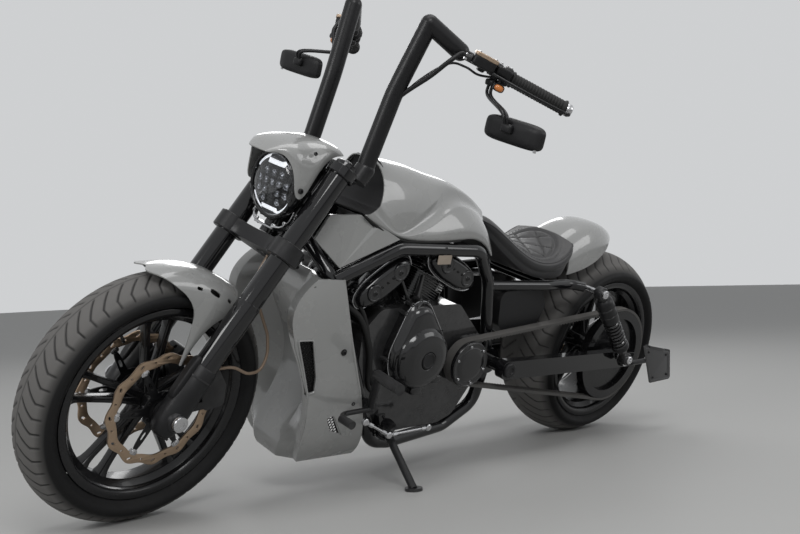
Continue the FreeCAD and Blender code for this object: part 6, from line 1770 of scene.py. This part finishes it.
def makeShocks():
    top, foot = np.array(shock["top"]), np.array(shock["foot"])
    axis, long, r = unit(foot - top), np.linalg.norm(foot - top), shock["radius"]
    # (down from the top eye, radius)
    cover = [(26, 0), (26, 17), (32, 24), (40, r), (128, r), (132, r - 2), (134, r - 6), (134, 12)]
    # (up from the lower eye, radius)
    cup = [(78, 12), (78, r - 2), (72, r), (62, r), (58, r - 6), (34, 15), (22, 12), (22, 0)]
    cup = [(long - up, radius) for up, radius in cup]
    parts = [lathe(softened(rows, 1.5, 3), top, axis, 48) for rows in (cover, cup)]
    eye = [(-14, 8), (-14, 19), (-11, 21), (11, 21), (14, 19), (14, 8)]
    parts += [lathe(eye, spot, leftWay, 32, True) for spot in (top, foot)]
    parts.append(pipe([top + axis * 12, top + axis * 30], [14.0, 16.0]))
    parts.append(pipe([foot - axis * 34, foot - axis * 12], [14.0, 13.0]))
    for down in (60, 94):
        rows = [(down, r + 0.2), (down + 1, r + 1.6), (down + 5, r + 1.6), (down + 6, r + 0.2)]
        parts.append(lathe(rows, top, axis, 48))
    piece("shockBodies", bothSides(parts), "chassis", "satin_black", ["rear_shocks"], 40)
    angle = np.linspace(0, shock["turns"] * 2 * np.pi, shock["turns"] * 24)[:, None]
    side, other = squareTo(axis)
    start, end = 132.0, long - 76.0
    coil = (np.cos(angle) * side + np.sin(angle) * other) * (r - 5.5)
    helix = top + axis * (start + (end - start) * angle / angle[-1]) + coil
    rod = lathe([(120, 0), (120, 11), (long - 60, 11), (long - 60, 0)], top, axis, 24)
    springs = [pipe(helix, shock["wire"], count=10), rod]
    piece("shockSprings", bothSides(springs), "chassis", "satin_black", look="engineBlack")
    head = [(14, 9), (14, 14), (21, 14), (23, 12), (23, 6), (20, 5), (20, 0)]
    ends = ((-68, top), (-26, foot))
    pins = [lathe([(inner, 0), (inner, 9)] + head, spot, leftWay, 24) for inner, spot in ends]
    piece("shockPins", bothSides(pins), "chassis", "bright_steel")


# Rear details: belt adjusters on the arms, axle nuts, pivot caps, and a blank plate with its lamp strip

rear = {
    "armFace": 201.0,
    "plateLine": [(-38, 392), (-213, 358), (-261, 250), (-136, 247)],
    "plateLeft": 240.5,
    "plateScrews": [(-80, 365), (-196, 345), (-232, 268), (-146, 264)],
    "pivot": (600, 352),
    "axleHeight": 330,
}


def makeRearDetails():
    face, axle = rear["armFace"], rear["axleHeight"]
    pivotX, pivotZ = rear["pivot"]
    nut = softened([(0, 24), (8, 24), (12, 21), (12, 0)], 1.0, 3)
    cap = softened([(0, 0), (0, 24), (5, 24), (8, 21), (8, 12), (5, 11), (5, 0)], 0.8, 3)
    end = [(-2, 0), (-2, 12.5), (12.6, 12.5), (13.4, 11), (13.4, 8.5), (11, 8.4), (11, 0)]
    black = [housing((-26, face + 1, axle), (30, 5, 24), power=0.35), lathe(nut, (0, face, axle), leftWay, 6),
             lathe(cap, (pivotX, face, pivotZ), leftWay, 40)]
    bright = [lathe(end, (0, face + 0.4, axle), leftWay, 32),
              pipe([(-58, face - 14, axle), (-34, face - 14, axle)], 4.5),
              screw((-58, face - 14, axle), (-1, 0, 0), 7.0, 7.0, 6)]
    piece("armCaps", bothSides(black), "chassis", "satin_black")
    piece("armNuts", bothSides(bright), "chassis", "bright_steel")
    line, left = np.array(rear["plateLine"], float), rear["plateLeft"]
    middle = line.mean(0)
    inner = np.insert(softened((line - middle) * 0.9 + middle, 8.0, 5, True), 1, left + 1.4, axis=1)
    blank = plate([softened(line, 9.0, 5, True)], 3.0, 0.7, (0, left, 0))
    rim = pipe(inner, 1.4, count=6, loop=True)
    piece("plateBlank", [blank, rim], "chassis", "bright_steel", look="plateSteel")
    strip = housing((-126, left + 1, 376), (52, 4.0, 4.5), (175, 0, 34), power=0.4)
    piece("plateLamp", [strip], "chassis", "indicator_orange", look="lampBezel")
    screws = [screw((x, left + 1, z), leftWay, 4.5, 3.5) for x, z in rear["plateScrews"]]
    piece("plateScrews", screws, "chassis", "satin_black")


# Left side linkage: a bright shift rod with its joints. Two hoses run behind the shroud on each side.

linkage = {
    "rod": [(1150, 200, 262), (1062, 208, 214), (900, 196, 208)],
    "joint": [(-6, 0), (-6, 8), (-4, 10), (4, 10), (6, 8), (6, 0)],
    "nut": [(14, 4), (15, 6.4), (30, 6.4), (31, 4)],
    # how far each hose is moved from the first, radius
    "hoses": [(0.0, 9.0), (24.0, 6.0)],
}


def makeLinkage():
    spots = np.array(linkage["rod"], float)
    ends = ((spots[0], spots[1]), (spots[1], spots[2]))
    parts = [pipe([a, b], 4.0) for a, b in ends]
    parts += [lathe(linkage["joint"], spot, leftWay, 20) for spot in spots]
    for a, b in ends:
        way = unit(b - a)
        parts += [lathe(linkage["nut"], a, way, 6), lathe(linkage["nut"], b, -way, 6)]
    piece("shiftLinkage", parts, "chassis", "bright_steel")
    hoses = []
    for shift, radius in linkage["hoses"]:
        route = [(1196, 92 - shift * 0.5, 560 + shift), (1150, 112, 520 + shift), (1110, 120, 440),
                 (1090, 118, 360 - shift), (1058, 108, 320 - shift)]
        hoses.append(pipe(smoothThrough(route, 8), radius))
    piece("coolantHoses", bothSides(hoses), "chassis", "satin_plastic", look="gripRubber")


makeShroudDetails()
makeShocks()
makeRearDetails()
makeLinkage()
makeFrontAxle()
print("details ready:", pieceCount)


# Small fittings: a blank tan tag on the rail, and the steadies and their bracket in the engine's vee

fittings = {
    "tag": (916.0, 150.0, 692.0),
    "tagLine": [(-26, -13), (26, -13), (26, 13), (-26, 13)],
    "bracket": (945.0, 96.0, 552.0),
    "bracketLine": [(-70, -14), (0, 22), (70, -26), (58, -44), (0, -8), (-58, -32)],
    "bracketScrews": [(-50, -14), (0, 7), (50, -26)],
}


def makeFittings():
    x, left, z = fittings["tag"]
    tag = plate([softened(fittings["tagLine"], 3.0, 4, True)], 2.0, 0.5, fittings["tag"])
    piece("railTag", [tag], "chassis", "bronze_trim", look="plateTan")
    strap = housing((x, left - 7, z + 22), (8, 7, 14), power=0.4, steps=(8, 12))
    piece("railTagStrap", [strap], "chassis", "satin_black")
    steady = []
    for sign in (1, -1):
        foot, top = onCylinder(sign, 136, -62 * sign, 96), onCylinder(sign, 206, -72 * sign, 84)
        steady.append(pipe([foot, top], [[9.0, 5.0], [7.0, 4.0]], ovalLine(2, 2, 0.5, 16)))
        steady.append(screw(foot + (0, 6, 0), leftWay, 7.0, 5.0, 6))
    middle = np.array(fittings["bracket"])
    steady.append(plate([softened(fittings["bracketLine"], 6.0, 4, True)], 9.0, 2.0, middle))
    steady += [screw(middle + (x, 4, z), leftWay, 6.0, 5.0, 10) for x, z in fittings["bracketScrews"]]
    piece("engineSteadies", steady, "chassis", "engine_black")


makeFittings()
dressNodes()
print("pieces:", pieceCount)
